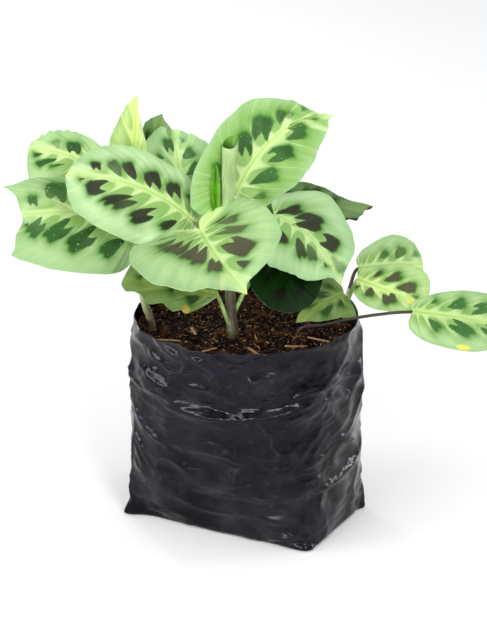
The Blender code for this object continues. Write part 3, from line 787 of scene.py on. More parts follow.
# Margins that the four half-widths can't give: from the base to the tip, across the midrib and
# along it, first the left side and then the right.
MARGINS = {
    "b": ([(0, 0), (-20, 0), (-36, 5), (-42, 12), (-45, 21), (-46, 33), (-46, 45), (-44, 57), (-42, 69),
           (-38, 80), (-34, 91), (-30, 97), (-26, 94), (-21, 93), (-15, 92), (-11, 89), (-6, 86), (0, 86)],
          [(0, 0), (14, 5), (22, 18), (26, 34), (27, 50), (27, 62), (27, 72), (26, 79), (24, 85), (22, 91),
           (22.5, 98), (20, 94), (17, 91), (14, 89), (8, 88), (3, 87), (0, 86)]),
    "c": ([(0, 0), (-5, -6), (-14, -4), (-25, 6), (-34, 20), (-40, 34), (-42, 50), (-40, 67), (-34, 86),
           (-27, 98), (-18, 103), (-8, 104), (0, 104)],
          [(0, 0), (4, -9), (11, -12), (18, -7), (22, 1), (24, 10), (26, 20), (26.5, 33), (27, 48), (27, 61),
           (26, 69), (24, 77), (20, 85), (15, 92), (9, 97), (4, 101), (0, 104)]),
    "d": ([(0, 0), (0, -10), (-5, -24), (-14, -32), (-25, -28), (-35, -13), (-44, 16), (-48, 41), (-48, 60),
           (-45, 75), (-38, 85), (-28, 91), (-18, 94), (-12, 94), (-7, 95), (-3, 98), (0, 104)],
          [(0, 0), (9, -1), (18, -6), (29, -6), (38, -2), (46, 4), (52, 13), (55, 23), (55.5, 32), (54, 42),
           (52.5, 51), (50, 60), (45, 67), (39, 72), (34, 78), (28, 82), (23, 84), (18, 88), (13, 92), (8, 94),
           (4, 98), (0, 104)]),
    "e": ([(0, 0), (-8, -7), (-18, -8), (-28, -1), (-35, 6), (-40, 14), (-41, 21), (-40, 28), (-36, 37),
           (-32, 45), (-25, 53), (-19, 58), (-14, 61), (-7, 66), (-2, 71), (0, 74)],
          [(0, 0), (14, -8), (28, -4), (38, 6), (42, 17), (44, 30), (40, 41), (36, 51), (30, 58), (24, 63),
           (16, 65.5), (8, 66), (3, 69), (0, 74)]),
    "f": ([(0, 0), (-6, -16), (-15, -26), (-25, -24), (-31, -12), (-34, 0), (-35, 12), (-35, 22), (-36, 30),
           (-34, 40), (-34, 47), (-32, 53), (-28, 58), (-24, 62.5), (-21, 66), (-17.5, 70), (-16, 74),
           (-12, 76.5), (-9, 80), (-6.5, 81.5), (-4, 86), (-1.5, 88), (-1.5, 95), (0, 101)],
          [(0, 0), (10, -12), (21, -5), (29, 9), (34, 24), (36, 32), (36, 45), (34, 60), (29, 76), (22, 85),
           (16, 91), (9, 95.5), (4, 95.5), (2, 97), (0, 101)]),
    "h": ([(0, 0), (-14, 6), (-18, 14), (-19, 22), (-19, 26), (-18, 31), (-16, 36), (-14, 40), (-12, 45),
           (-9, 50), (-8, 53), (-4, 57), (0, 61)],
          [(0, 0), (6, 5), (11, 14), (12, 20), (12, 26), (10, 30), (8, 34), (6, 40), (4, 45), (2, 51), (1, 58), (0, 61)]),
    "i": ([(0, 0), (-6, 4), (-10, 12), (-12, 17), (-12, 21), (-12, 24), (-8, 28), (-5, 30), (-1, 33), (0, 33)],
          [(0, 0), (6, 6), (11, 14), (12, 22), (10, 26), (6, 28), (4, 29), (1, 31), (0, 33)]),
    "j": ([(0, 0), (-10, 2), (-18, 12), (-23, 25), (-25, 37), (-24, 41), (-21, 46), (-18, 49), (-14, 53),
           (-10, 55), (-5, 56), (-2, 53), (0, 51)],
          [(0, 0), (12, 2), (20, 12), (25, 26), (24, 37), (21, 41), (18, 42), (16, 44), (13, 47), (10, 47),
           (6, 50), (2, 52), (0, 51)]),
    "k": ([(0, 0), (-10, 0), (-17, 10), (-19, 22), (-18, 34), (-18, 44), (-16, 50), (-14, 58), (-11, 64),
           (-7, 69), (-4.5, 75), (-3, 82), (-2, 89), (0, 96)],
          [(0, 0), (9, 0), (15, 10), (18, 25), (19, 40), (18, 55), (16, 66), (13, 73), (10.5, 79), (13, 83),
           (9, 84.5), (7, 88), (3.5, 89), (2.5, 94), (0, 96)]),
    "m": ([(0, 0), (-8, 3), (-15, 5), (-22.5, 10), (-18, 19), (-16, 26), (-12, 34), (-8, 40), (-4, 45), (0, 51)],
          [(0, 0), (3, -3), (10, -6), (18, -4), (20.5, 8), (20, 18), (16, 27), (13, 31), (10, 36), (6, 38),
           (4, 45), (0, 51)]),
    "q": ([(0, 0), (-3, 4), (-6, 9), (-9, 14), (-12, 18), (-16, 20), (-19, 23), (-16, 27), (-18.5, 32),
           (-16, 36), (-13, 40), (-14, 44), (-16, 49), (-14, 53), (-9.5, 57), (-8, 62), (-9, 67), (-4, 71), (0, 70)],
          [(0, 0), (10, 4), (15, 15), (17, 30), (17, 45), (15, 58), (13, 65), (8, 67), (3, 69), (0, 70)]),
}
# Dark blotches of each blade, laid out flat: the inner and the outer end, across the midrib and
# along it from the base, then the width, how many points the inner end has, and how dark it is.
BLOTCHES = {
    "a": [(2, 33, 11, 37, 8, 2, 1), (-4, 55, -6, 62, 3, 1, 1), (-6, 44, -13, 58, 4.6, 1, 1),
          (-8, 36, -13, 47, 2, 1, 1), (3, 45, 9, 49, 5, 1, 0.4)],
    "b": [(4, 77, 13, 78, 5.5, 2, 0.9), (7, 61, 22, 61, 13, 2, 0.85), (-7, 82, -9, 84, 2, 1, 1),
          (-5, 70, -16, 82, 8, 2, 0.9), (-7, 49, -20, 70, 9.5, 2, 1), (-13, 30, -26, 53, 10, 2, 1),
          (-17, 11, -30, 27, 9, 1, 1)],
    "c": [(4, 81, 11, 83, 6, 2, 1), (3, 64, 13, 72, 7, 1, 0.72), (4, 53, 14, 62, 7.5, 1, 1),
          (3, 37, 14, 44, 10, 2, 1), (5, 20, 14, 27, 9, 2, 1), (9, 8, 14, 12, 3.6, 1, 0.8),
          (-2, 89, -3, 94, 1.5, 1, 1), (-6, 72, -10, 89, 9, 2, 1), (-8, 52, -18, 75, 5.6, 1, 1),
          (-11, 47, -20, 67, 5.8, 1, 0.9), (-12, 29, -25, 49, 9, 2, 1), (-9, 11, -21, 22, 6.4, 1, 1)],
    "d": [(17, 5, 30, 2, 4, 1, 0.35), (17, 9, 33, 17, 6.5, 1, 0.85), (13, 16, 31, 27, 8, 1, 1),
          (8, 20, 24, 35, 7.5, 1, 1), (6, 31, 20, 46, 9, 1, 1), (2, 38, 15, 56, 8.6, 1, 1),
          (1, 57, 8, 72, 8.5, 2, 1), (-6, 5, -20, 9, 7, 1, 0.9), (-10, 16, -27, 26, 7.5, 1, 0.8),
          (-9, 28, -27, 46, 8.5, 2, 0.8), (-10, 47, -22, 72, 12.5, 2, 1), (-9, 73, -13, 83, 5.5, 1, 1)],
    "e": [(-1, 1, -16, 13, 6.5, 1, 1), (-2, 14, -16, 30, 12, 2, 1), (-5, 37, -13, 48, 10.5, 2, 1),
          (-3, 52, -6, 65, 7, 1, 0.35), (11, 11, 21, 23, 6.5, 1, 1), (9, 26, 18, 42, 7.2, 1, 0.9),
          (7, 36, 12, 49, 7, 1, 0.7), (5, 54, 5.5, 57.5, 1.6, 1, 1)],
    "f": [(-6, 25, -18, 37, 8.5, 2, 1), (-5, 40, -17, 52, 12, 2, 1), (-6, 58, -13, 64, 6, 1, 0.9),
          (-5, 65, -9, 69, 4.5, 1, 0.5), (-6, 76, -8, 79, 2.4, 1, 0.7), (-16, 5, -23, 11, 4.5, 1, 0.8),
          (-1, 75, 1, 86, 2, 1, 0.9), (3, 58, 7, 75, 10, 2, 0.9), (6, 34, 16, 55, 9, 2, 1),
          (7, 11, 19, 30, 9, 1, 1), (13, 2, 20, 9, 4, 1, 0.7)],
    "i": [(-6, 8, -7, 18, 2.6, 1, 0.9)],
    "j": [(-4, 34, -6, 45, 5.4, 2, 1), (4, 40, 6, 43, 2.2, 1, 0.6), (4, 29, 12, 34, 7, 1, 0.9),
          (6, 17, 15, 23, 7, 1, 0.9), (-9, 31, -14, 33, 3, 1, 0.9), (12, 6, 16, 9, 3, 1, 0.9),
          (-6, 17, -13, 22, 6, 1, 0.9)],
    "k": [(-11, 43, -12, 47, 2, 1, 0.8), (-10.5, 47, -11.5, 56, 3, 1, 1), (-4, 61, -3, 68, 4, 1, 0.9),
          (3, 24, 8, 32, 5, 1, 1), (-4, 24, -10, 32, 5, 1, 1), (4, 44, 8, 53, 5, 1, 0.9)],
    "l": [(3, 33, 12, 38, 7, 1, 1), (10, 21, 15, 22, 4, 1, 1), (-9, 36, -3, 42, 5, 1, 1),
          (-5, 20, -13, 26, 6, 1, 1)],
    "m": [(4, 2, 12, 6, 3.4, 1, 1), (4, 12, 10, 22, 6, 2, 1), (-4, 8, -9, 13, 4, 1, 1),
          (-5, 18, -8, 31, 5, 1, 1), (2, 27, 5, 35, 3.4, 1, 0.7)],
    "n": [(-5, 16, -10, 22, 4, 1, 0.9), (-5, 28, -12, 34, 6, 1, 1), (-6, 40, -8.5, 44.5, 3, 1, 0.6),
          (4, 12, 10, 18, 4, 1, 1), (4, 26, 11, 33, 5, 1, 1)],
    "o": [(-5, 11, -12, 15, 3, 1, 1), (-6, 20, -14, 29, 6, 1, 1), (-4, 30, -10, 43, 6.4, 1, 1),
          (-3, 42, -4, 47, 2, 1, 0.7), (4, 5, 6.5, 1.5, 2, 1, 1), (2.5, 13, 9, 14, 6, 1, 1),
          (1.5, 25, 8, 32, 8, 2, 1)],
    "p": [(-7, 12, -10, 16, 2.4, 1, 1), (-6, 24, -12, 36, 6.4, 1, 1), (-6, 41, -12, 55, 7, 2, 1),
          (4, 12, 11, 21, 4.6, 1, 1), (4, 27, 11, 44, 7.2, 2, 1), (3, 51, 9, 62, 6.5, 2, 1)],
    "q": [(-1, 33, -4, 36, 3, 1, 0.9), (5, 56, 2.5, 59, 2.4, 1, 0.9), (4, 18, 9, 26, 5, 1, 0.9),
          (-4, 14, -9, 22, 5, 1, 0.9), (4, 38, 8, 45, 4, 1, 0.9)],
}
# Dried or yellowed patches: across, along, length, width in millimetres and how brown it is.
DRY_SPOTS = {
    "d": [(0, 103, 5, 3, 0.1)], "k": [(13, 80, 22, 3, 1.6), (3, 95, 8, 3, 1.6)], "m": [(13, 31, 9, 5, 0.9)],
    "o": [(1, 45, 9, 1.6, 0.0)], "p": [(22, 40, 10, 2, 0.0)], "q": [(-17, 23, 6, 5, 0.55)],
}


def midrib(leaf):
    """The midrib's curve, and the directions along, to the right of and out of the blade."""
    base, tip = np.array(leaf["base"], float), np.array(leaf["tip"], float)
    turn, tilt = (radians(angle) for angle in leaf["facing"])
    looks = np.array([sin(turn) * cos(tilt), -cos(turn) * cos(tilt), sin(tilt)])
    along = unit(tip - base)
    face = unit(looks - (looks @ along) * along)
    side = np.cross(along, face)
    bend = base + (tip - base) * leaf.get("crest", 0.5)
    bend += 2 * face * leaf.get("rise", 0) + 2 * side * leaf.get("bow", 0)
    t = np.linspace(0, 1, 40)[:, None]
    return (1 - t) ** 2 * base + 2 * t * (1 - t) * bend + t**2 * tip, along, side, face


def half_width(stations, share):
    """The smooth curve through the four half-widths at the base, thirds and tip of the blade."""
    places = np.array([0, 1 / 3, 2 / 3, 1])
    total = 0
    for i, width in enumerate(stations):
        weight = width
        for j in range(4):
            if j != i:
                weight = weight * (share - places[j]) / (places[i] - places[j])
        total = total + weight
    return total


def margin_of(leaf, letter, s, length):
    """The blade's edge on both sides: distance from the midrib and place along it, at each share s."""
    sides = []
    for number, side in enumerate(("left", "right")):
        if letter in MARGINS:
            line = np.abs(np.array(MARGINS[letter][number], float) * (1, 0)) + MARGINS[letter][number] * np.array((0, 1))
            gone = np.concatenate([[0], np.cumsum(np.linalg.norm(np.diff(line, axis=0), axis=1))])
            edge, place = (np.interp(s * gone[-1], gone, line[:, i]) for i in (0, 1))
            for _ in range(2):
                for row in (edge, place):
                    row[1:-1] = (row[:-2] + 2 * row[1:-1] + row[2:]) / 4
        else:
            share = 0.5 - 0.5 * np.cos(pi * s)
            edge = np.maximum(np.sin(pi * s), 0) ** 0.8 * half_width(leaf[side], share)
            count, depth, begins = leaf.get("scallop", (0, 0, 0))
            teeth = 1 - 1.6 * np.abs(np.sin(pi * count * share + number * 1.3))
            edge = edge + depth * teeth * np.clip((s - begins) / 0.1, 0, 1) * np.clip((1 - s) / 0.06, 0, 1)
            lobe, horn = leaf.get("lobe", (0.08, 0.08))[number], leaf.get("horn", (0, 0))[number]
            place = share - lobe * np.sin(pi * s) * (1 - s) ** 3 * 2.6 + horn * np.sin(pi * s) * s**3 * 2.6
            place = place * length
        sides.append((edge, place))
    return sides


def flat_blade(leaf, letter, s, v, length):
    """Where each point of the blade lies when it is pressed flat: along it and out to its edge."""
    (left_edge, left_place), (right_edge, right_place) = margin_of(leaf, letter, s[:, 0], length)
    left = v < 0
    edge = np.where(left, left_edge[:, None], right_edge[:, None])
    place = np.where(left, left_place[:, None], right_place[:, None])
    out = np.abs(v)
    start = s**3 * length
    return start + (place - start) * (0.45 * out + 0.55 * out**2.4), edge * out


def blotch_outline(x0, y0, x1, y1, width, points, chance):
    """A blotch's corners on the flat blade. Its inner end has one or two points, its outer is blunt."""
    if points == 1:
        outline = [(-0.05, 0.0), (0.12, 0.2), (0.4, 0.4), (0.7, 0.52), (0.94, 0.46), (1.04, 0.22), (0.98, 0.02),
                   (1.05, -0.22), (0.92, -0.5), (0.66, -0.54), (0.36, -0.38), (0.1, -0.17)]
    else:
        outline = [(-0.04, -0.3), (0.14, -0.46), (0.45, -0.54), (0.8, -0.55), (1.0, -0.36), (0.96, -0.1),
                   (1.06, 0.16), (0.97, 0.42), (0.66, 0.54), (0.34, 0.5), (0.08, 0.3), (0.26, 0.16),
                   (0.42, 0.02), (0.2, -0.13)]
    ahead = np.array([x1 - x0, y1 - y0], float)
    side = unit(np.array([-ahead[1], ahead[0]])) * width * 1.16
    start = np.array([x0, y0])
    rough = chance.normal(0, 0.035, (len(outline), 2))
    return [start + (t + dt) * ahead + (w + dw) * side for (t, w), (dt, dw) in zip(outline, rough)]


def depth_inside(x, y, outline):
    """Distance to the outline in millimetres: above zero inside it, below zero outside."""
    nearest = np.full(x.shape, 1e9)
    inside = np.zeros(x.shape, bool)
    for start, end in zip(outline, outline[1:] + outline[:1]):
        run = end - start
        share = np.clip(((x - start[0]) * run[0] + (y - start[1]) * run[1]) / (run @ run), 0, 1)
        nearest = np.minimum(nearest, np.hypot(x - start[0] - share * run[0], y - start[1] - share * run[1]))
        crosses = (start[1] > y) != (end[1] > y)
        level = start[0] + (y - start[1]) * run[0] / (run[1] if run[1] else 1e-9)
        inside ^= crosses & (x < level)
    return np.where(inside, nearest, -nearest)


def vein_count(s, v, across, along, blotches, length):
    """How many side veins lie between the base and each point. They run between the blotches."""
    counted = np.zeros(s.shape)
    for sign in (-1, 1):
        half = (v * sign > 0) | ((v == 0) & (sign > 0))
        centres = []
        for x0, y0, x1, y1, *_ in blotches:
            x, y = (x0 + x1) / 2, (y0 + y1) / 2
            if x * sign > 0:
                far = np.where(half, np.hypot(across - x, along - y), 1e9)
                centres.append(s.flat[far.argmin()])
        even = length / 11
        centres = sorted(centres) or [0.3, 0.5, 0.7]
        kept = [centres[0]]
        for centre in centres[1:]:
            if centre - kept[-1] > 0.04:
                kept.append(centre)
        step = max(0.07, min(0.14, 1 / max(even, 1)))
        while kept[0] > step * 1.2:
            kept.insert(0, kept[0] - step)
        while kept[-1] < 1 - step * 0.8:
            kept.append(kept[-1] + step)
        places = [0] + [(a + b) / 2 for a, b in zip(kept, kept[1:])] + [1.05]
        filled = [0.0]
        for place in places[1:]:
            gap = place - filled[-1]
            parts = max(1, round(gap / (step * 1.5)))
            filled += [filled[-1] + gap * (k + 1) / parts for k in range(parts)]
        counted = np.where(half, np.interp(s, filled, range(len(filled))), counted)
    return counted


def blade_grid(leaf, letter, rows, columns, quilt):
    """The blade's points, and what its material reads at each point."""
    curve, _, side, _ = midrib(leaf)
    reach = np.concatenate([[0], np.cumsum(np.linalg.norm(np.diff(curve, axis=0), axis=1))])
    length = reach[-1]
    slope = unit(np.gradient(curve, axis=0))
    blotches, spots, seed = BLOTCHES.get(letter, []), DRY_SPOTS.get(letter, []), ord(letter)
    s = (np.linspace(0, 1, rows + 1) ** 0.85)[:, None] * np.ones(columns + 1)
    v = np.linspace(-1, 1, columns + 1)
    v = (np.sign(v) * np.abs(v) ** 1.15) * np.ones((rows + 1, 1))
    along, out = flat_blade(leaf, letter, s, v, length)
    across = np.sign(v) * out
    near = np.clip(along, 0, length)
    spine = np.stack([np.interp(near, reach, curve[:, i]) for i in range(3)], -1)
    tangent = unit(np.stack([np.interp(near, reach, slope[:, i]) for i in range(3)], -1))
    spine = spine + tangent * (along - near)[..., None]
    right = unit(side - (tangent @ side)[..., None] * tangent)
    up = np.cross(right, tangent)
    fold = np.radians(np.where(v < 0, *leaf.get("fold", (0, 0))))
    points = spine + right * (across * np.cos(fold))[..., None] + up * (out * np.sin(fold))[..., None]
    veins = vein_count(s, v, across, along, blotches, length)
    edge_share = np.abs(v)
    calm_ends = np.clip(np.sin(pi * s) * 3, 0, 1)
    lift = quilt * (np.abs(np.sin(pi * veins)) ** 0.7 - 0.7) * np.clip(out / 4, 0, 1) * (1.1 - 0.35 * edge_share)
    lift += quilt * 0.25 * np.sin(4 * pi * veins + 1) * edge_share * np.clip(out / 8, 0, 1)
    lift += quilt * 0.8 * np.sin(pi * veins + seed) * edge_share**4
    swells = [[noise.noise(Vector((x / 30, y / 26, seed * 3.1))) for x, y in zip(*row)] for row in zip(across, along)]
    lift += np.array(swells) * quilt * 2.2 * np.clip(out / 14, 0, 1)
    lift *= calm_ends
    lift -= 0.5 * np.exp(-((across / 1.3) ** 2)) * np.clip(1 - along / length, 0, 1) ** 0.5
    points = points + up * lift[..., None]
    chance = np.random.default_rng(seed)
    depth = np.full(s.shape, -9.0)
    halo, tone = np.zeros(s.shape), np.zeros(s.shape)
    for x0, y0, x1, y1, width, teeth, dark in blotches:
        here = depth_inside(across, along, blotch_outline(x0, y0, x1, y1, width, teeth, chance))
        run = np.array([x1 - x0, y1 - y0], float)
        t = ((across - x0) * run[0] + (along - y0) * run[1]) / (run @ run)
        glow = np.exp(np.minimum(here, 0) / 3.2) * np.clip((t - 0.3) / 0.6, 0, 1) * min(1.0, 0.5 + dark / 2)
        tone = np.where(here > depth, dark, tone)
        depth = np.maximum(depth, here)
        halo = np.maximum(halo, glow)
    dry, brown = np.full(s.shape, -9.0), np.zeros(s.shape)
    for x, y, long, wide, how_brown in spots:
        here = (1 - np.hypot((across - x) / wide, (along - y) / (long / 2))) * wide / 2
        brown = np.where(here > dry, how_brown, brown)
        dry = np.maximum(dry, here)
    data = {
        "blade": np.stack([veins, across, edge_share], -1),
        "blotch": np.stack([depth, halo, tone], -1),
        "wear": np.stack([dry, brown, along / length], -1),
    }
    return in_bag(points), data


def skin_sheet(name, top, thickness, data, pointed, rib=None):
    """A closed thin sheet from a grid of points. A pointed one runs together at its first and last row.
    Its upper side takes the first material and its under side the second."""
    normals = grid_normals(top, False)
    if pointed:
        normals[0], normals[-1] = normals[1], normals[-2]
        normals[0] = normals[0].mean(axis=0)
        normals[-1] = normals[-1].mean(axis=0)
    extra = np.zeros(top.shape[:2]) if rib is None else rib
    upper = top + normals * thickness / 2
    under = top - normals * (thickness / 2 + extra)[..., None]
    rows, columns = top.shape[:2]
    verts, numbers, order = [], [], []
    for skin in (upper, under):
        index = np.zeros((rows, columns), int)
        for i in range(rows):
            for k in range(columns):
                if pointed and i in (0, rows - 1) and k:
                    index[i, k] = index[i, 0]
                    continue
                index[i, k] = len(verts)
                verts.append(skin[i, k])
                order.append((i, k if not (pointed and i in (0, rows - 1)) else columns // 2))
        numbers.append(index)
    faces, sides = [], []
    high, low = numbers
    for i in range(rows - 1):
        for k in range(columns - 1):
            corners = (high[i, k], high[i, k + 1], high[i + 1, k + 1], high[i + 1, k])
            faces.append(corners)
            faces.append(tuple(reversed((low[i, k], low[i, k + 1], low[i + 1, k + 1], low[i + 1, k]))))
            sides += [0, 1]
    border = [(i, 0) for i in range(rows - 1)] + [(rows - 1, k) for k in range(columns - 1)]
    border += [(i, columns - 1) for i in range(rows - 1, 0, -1)] + [(0, k) for k in range(columns - 1, 0, -1)]
    for here, there in zip(border, border[1:] + border[:1]):
        if high[here] != high[there]:
            faces.append((high[here], high[there], low[there], low[here]))
            sides.append(1)
    clean, kept_sides = [], []
    for face, flank in zip(faces, sides):
        corners = [int(c) for n, c in enumerate(face) if c != face[n - 1]]
        if len(corners) > 2:
            clean.append(corners)
            kept_sides.append(flank)
    mesh = bpy.data.meshes.new(name)
    mesh.from_pydata([tuple(map(float, v)) for v in verts], [], clean)
    mesh.polygons.foreach_set("material_index", kept_sides)
    rows_used, columns_used = np.array(order).T
    for key, values in data.items():
        attribute = mesh.attributes.new(key, "FLOAT_VECTOR", "POINT")
        attribute.data.foreach_set("vector", values[rows_used, columns_used].astype(np.float32).ravel())
    mesh.shade_smooth()
    mesh.set_sharp_from_angle(angle=radians(60))
    bm = bmesh.new()
    bm.from_mesh(mesh)
    bmesh.ops.recalc_face_normals(bm, faces=bm.faces)
    bm.to_mesh(mesh)
    bm.free()
    made = bpy.data.objects.new(name, mesh)
    scene.collection.objects.link(made)
    return made


def leaf_finish(name, leaf, under=False):
    """The patterned skin of a blade: pale ribs, dark blotches with a green glow and a mint edge, painted shade and
    light across the side-vein gaps and a paler outer band that is partly painted sheen.
    """
    finish, shader, start = new_finish(name, Roughness=0.45, Specular_IOR_Level=0.1 if leaf.get("deep", 0) > 0.9 else 0.22)
    blade, blotch, wear = start.attribute("blade"), start.attribute("blotch"), start.attribute("wear")
    veins, across, edge = blade.part(0), blade.part(1).size(), blade.part(2)
    depth, halo, tone = blotch.part(0), blotch.part(1), blotch.part(2)
    dry, brown, along = wear.part(0), wear.part(1), wear.part(2)
    where = start.places()
    cloud = where.noise(45, 3).rise(0.3, 0.7)
    fine = where.noise(900, 3, 0.6)
    turn = veins.fraction()
    gap = (turn - 0.5).size() * 2
    vein_shade_ramp = turn.rise(0.0, 1.0)
    fine_furrow_and_light = (veins * 3).fraction().rise(0.1, 1.0)
    threads = ((veins * 10).fraction() - 0.5).size() * 2
    mid = (across - 0.15).rise(0.95, 0.15) * (1 - along * 0.7)
    deep, warm, mint = leaf.get("deep", 0), leaf.get("warm", 0), leaf.get("mint", 0)

    def mixed(colour):
        """One of the blade's colours, as this leaf shows it: darkened as painted shade by deep, made warmer by warm and
        bluish by mint.
        """
        made = np.array(colour, float)
        made += (np.array([colour[0] * 1.08 + 8, colour[1] * 1.03, colour[2] * 0.72]) - made) * warm
        made += (np.array([colour[0] * 0.84, colour[1] * 0.95, colour[2] * 1.12]) - made) * mint
        # Painted shade: deep darkens every colour of a leaf that lies in shade.
        made += (np.array([colour[0] * 0.12, colour[1] * 0.25, colour[2] * 0.03]) - made) * deep
        return paint(*made)

    light, middle, vein_shade_green = mixed((198, 223, 154)), mixed((142, 182, 100)), mixed((106, 152, 70))
    outer, margin, vivid = mixed(leaf.get("rim", (176, 208, 148))), mixed((150, 188, 130)), mixed((62, 126, 24))
    # Towards the edge the blade turns into a paler outer band: partly its own pale edge, partly painted sheen; c's rim
    # is set paler still as painted light.
    body = edge.rise(0.25, 0.7).tint(middle, outer)
    # Painted shade: each gap between side veins darkens towards its far vein, as if shaded by the swell.
    body = (vein_shade_ramp * (0.15 + 0.4 * cloud) * edge.rise(1.1, 0.5) * along.rise(0.95, 0.7)).tint(body, vein_shade_green)
    # Painted light: each third of a vein gap lightens towards its far side, the same sawtooth at a finer step.
    body = (fine_furrow_and_light * 0.12 * edge.rise(0.1, 0.6)).tint(body, light)
    body = (edge.rise(0.8, 1.0) * 0.8).tint(body, margin)
    spikes = 2.4 + 12 * gap**4
    body = ((across / spikes).rise(1.45, 0.55) * 0.9).tint(body, light)
    body = (gap.rise(0.88, 1.0) * (0.25 + 0.5 * edge.rise(0.9, 0.2))).tint(body, light)
    body = (threads.rise(0.4, 1.0) * 0.12 * cloud).tint(body, light)
    body = (halo * 0.95).smaller(1.0).tint(body, vivid)
    ragged = depth + (fine - 0.5) * 0.9 + (threads - 0.5) * 0.3
    mark = (ragged / (0.35 + halo)).rise(-0.7, 0.7) * tone
    spot = leaf.get("blotch", GREEN)
    dark = (threads * 0.15 + cloud * 0.85).tint(paint(*(c * 0.8 for c in spot)), paint(*(c * 1.12 for c in spot)))
    greener = 0.45 * max(0, 1 - deep)
    dark = depth.rise(1.6, -0.2).tint(dark, paint(*(c + greener * (g - c) for c, g in zip(spot, (52, 104, 26)))))
    body = (mark * (0.45 if under else 0.97)).tint(body, dark)
    body = mid.tint(body, mixed((172, 208, 84)))
    if leaf.get("star"):
        body = (along + across * 0.012).rise(0.20, 0.0).tint(body, paint(214, 236, 160))
    if leaf.get("specks"):
        speck = where.noise(520, 2, 0.5).rise(0.68, 0.74) * depth.rise(-3.0, 0.5) * leaf["specks"]
        body = speck.tint(body, paint(190, 220, 180))
    scorched = brown.rise(0, 1).tint(paint(216, 212, 82), paint(140, 96, 52))
    scorched = brown.rise(1.0, 1.6).tint(scorched, paint(34, 30, 16))
    body = (dry + (fine - 0.5) * 0.8).rise(-0.5, 0.6).tint(body, scorched)
    if under:
        body = (cloud * 0.3 + 0.45).tint(body, paint(176, 198, 156))
    feed(shader, body, "Base Color")
    feed(shader, 0.36 + 0.14 * cloud + 0.08 * gap, "Roughness")
    relief = 0.5 * threads.rise(0.2, 1.0) + 0.8 * fine_furrow_and_light + fine * 0.5 - mid * 0.8
    feed(shader, relief.bump(0.4, 0.0003), "Normal")
    return finish


def stalk_path(leaf):
    """The stalk leaves its stem, bends outwards and ends just under the blade's base."""
    _, along, _, face = midrib(leaf)
    base = in_bag(leaf["base"])
    along, face = unit(in_bag(along)), unit(in_bag(face))
    end = base - face * (CAD_BLADE / 2 + CAD_GAP + STALK_RADIUS)
    if leaf["stem"] is None:
        wiry = [(36, -21, 126), (38, -20, 149), (58, -21, 154), (81, -20, 159), (105, -19, 162)]
        return smooth_path(np.vstack([in_bag(wiry), end]), 10)[0]
    stem, widths = stem_axis(leaf["stem"], 4)
    place = int(round(leaf["share"] * (len(stem) - 1)))
    joint, rises = stem[place], unit(stem[min(place + 1, len(stem) - 1)] - stem[place - 1])
    outward = end - joint
    outward = unit(outward - (outward @ rises) * rises)
    start = joint + outward * (widths[place] * 0.6)
    reach = np.linalg.norm(end - start)
    bends = start + unit(rises + 0.5 * outward) * reach * 0.35
    arrives = end - unit(0.5 * along + face) * reach * 0.3
    t = np.linspace(0, 1, 25)[:, None]
    return (1 - t) ** 3 * start + 3 * t * (1 - t) ** 2 * bends + 3 * t**2 * (1 - t) * arrives + t**3 * end


stalk_green = stalk_finish("stalk_green", paint(176, 200, 126), paint(96, 136, 58), paint(110, 96, 58), 0.150, 0.17)
stalk_dark = stalk_finish("stalk_dark", paint(58, 50, 26), paint(24, 20, 10), paint(50, 34, 20), 0.150, 0.16)
for letter, leaf in LEAVES.items():
    big = letter in "bcdef"
    rows, columns = (130, 84) if big else (84, 52)
    quilt = 1.25 if big else 0.8
    top, data = blade_grid(leaf, letter, rows, columns, quilt)
    rib = 0.9 * MM * np.exp(-((data["blade"][..., 1] / 1.1) ** 2)) * (1 - data["wear"][..., 2]).clip(0, 1)
    blade = skin_sheet(f"blade_{letter}", top, blade_thickness, data, True, rib)
    blade.data.materials.append(leaf_finish(f"leaf_{letter}_upper", leaf))
    blade.data.materials.append(leaf_finish(f"leaf_{letter}_under", leaf, under=True))
    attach(blade, "root")
    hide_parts(f"leaf_{letter}_blade")
    path = stalk_path(leaf)
    radii = np.linspace(1.2, 1.0, len(path)) * STALK_RADIUS
    if leaf["stem"] is None:
        radii = np.linspace(1.0, 0.85, len(path)) * STALK_RADIUS
    stalk = shoot(f"stalk_{letter}", path, radii, 12, 0.02)
    stalk.data.materials.append(stalk_dark if letter in "pn" else stalk_green)
    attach(stalk, "root")
    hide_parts(f"leaf_{letter}_stalk")

# The newest leaf is still rolled into a spear, and a narrow young leaf stands beside it. Both are
# the same soft sheet as the open leaves.
YOUNG_LEAF = dict(base=(-22, -3, 229), tip=(-22, 3, 267), facing=(0, 0), fold=(35, 35),
                  left=(3, 4, 4, 3), right=(3, 4, 4, 3))
ROLL_LEVELS = [(-13, -4.5, 229, 4.8, 3.8), (-12.5, -2, 243, 5.4, 4.0), (-12, 1, 262, 6.2, 4.2),
               (-11, 4, 284, 6.8, 4.4)]
ROLL_TURNS = 1.2
ROLL_START = radians(100)
ROLL_SLANT = 3.2
ROLL_HIGH_SIDE = radians(82)

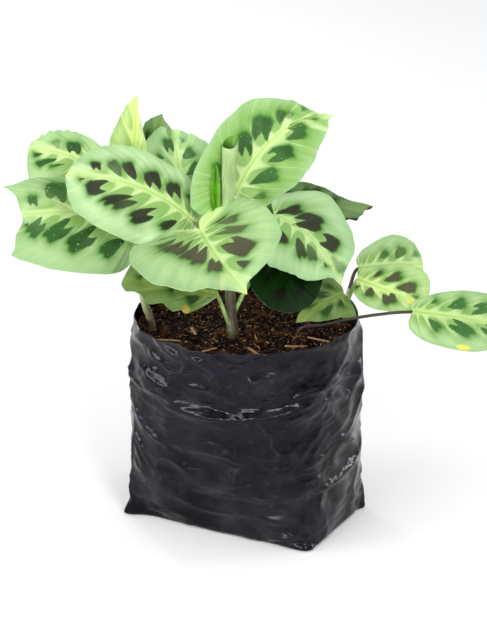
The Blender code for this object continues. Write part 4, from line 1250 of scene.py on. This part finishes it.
top, data = blade_grid(YOUNG_LEAF, "y", 40, 12, 0.0)
young = skin_sheet("young_blade", top, blade_thickness, data, True)
young_finish, young_shader, start = new_finish("young_green", Roughness=0.35)
streak = start.places().stretched((1, 1, 0.15)).noise(500, 3).rise(0.35, 0.7)
feed(young_shader, streak.tint(paint(98, 160, 18), paint(54, 114, 6)), "Base Color")
feed(young_shader, streak.bump(0.2, 0.0002), "Normal")
young.data.materials.append(young_finish)
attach(young, "root")
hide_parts("young_leaf_blade")

levels = len(ROLL_LEVELS) - 1
centres, shares = smooth_path(in_bag([level[:3] for level in ROLL_LEVELS]), 12)
outer, inner = (np.interp(shares, range(levels + 1), [level[i] for level in ROLL_LEVELS]) * MM for i in (3, 4))
roll_columns = 90
roll = np.zeros((len(centres), roll_columns + 1, 3))
for i, centre in enumerate(centres):
    share = i / (len(centres) - 1)
    for k in range(roll_columns + 1):
        part = k / roll_columns
        turn = ROLL_START + part * ROLL_TURNS * 2 * pi
        radius = outer[i] + (inner[i] - outer[i]) * part - 0.25 * MM
        lift = ROLL_SLANT * MM * share**3 * (cos(turn - ROLL_HIGH_SIDE) - 0.4) + 0.4 * MM * share**4 * sin(3 * turn + 1)
        roll[i, k] = centre + np.array([radius * cos(turn), radius * sin(turn), lift])
roll_data = {"blade": np.zeros((*roll.shape[:2], 3)), "wear": np.zeros((*roll.shape[:2], 3))}
part_round = np.linspace(0, 1, roll_columns + 1)
roll_data["blade"][..., 0] = shares[:, None] * 2.2 + part_round[None, :] * 2.5
roll_data["blade"][..., 1] = part_round[None, :]
rolled = skin_sheet("rolled_blade", roll, 0.5 * MM, roll_data, False)
outside, roll_shader, start = new_finish("rolled_outside", Roughness=0.4)
veins = (start.attribute("blade").part(1) * 14 + start.attribute("blade").part(0) * 0.8).fraction()
shade = start.places().stretched((1, 1, 0.3)).noise(120, 3).rise(0.35, 0.7)
body = shade.tint(paint(166, 192, 132), paint(128, 156, 92))
body = (((veins - 0.5).size() * 2).rise(0.75, 1.0) * 0.25).tint(body, paint(206, 220, 180))
feed(roll_shader, body, "Base Color")
feed(roll_shader, veins.bump(0.05, 0.0001), "Normal")
inside, inside_shader, start = new_finish("rolled_inside", Roughness=0.35)
feed(inside_shader, start.places().noise(120, 3).rise(0.3, 0.7).tint(paint(96, 152, 30), paint(62, 116, 14)), "Base Color")
rolled.data.materials.append(outside)
rolled.data.materials.append(inside)
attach(rolled, "root")
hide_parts("rolled_new_leaf")
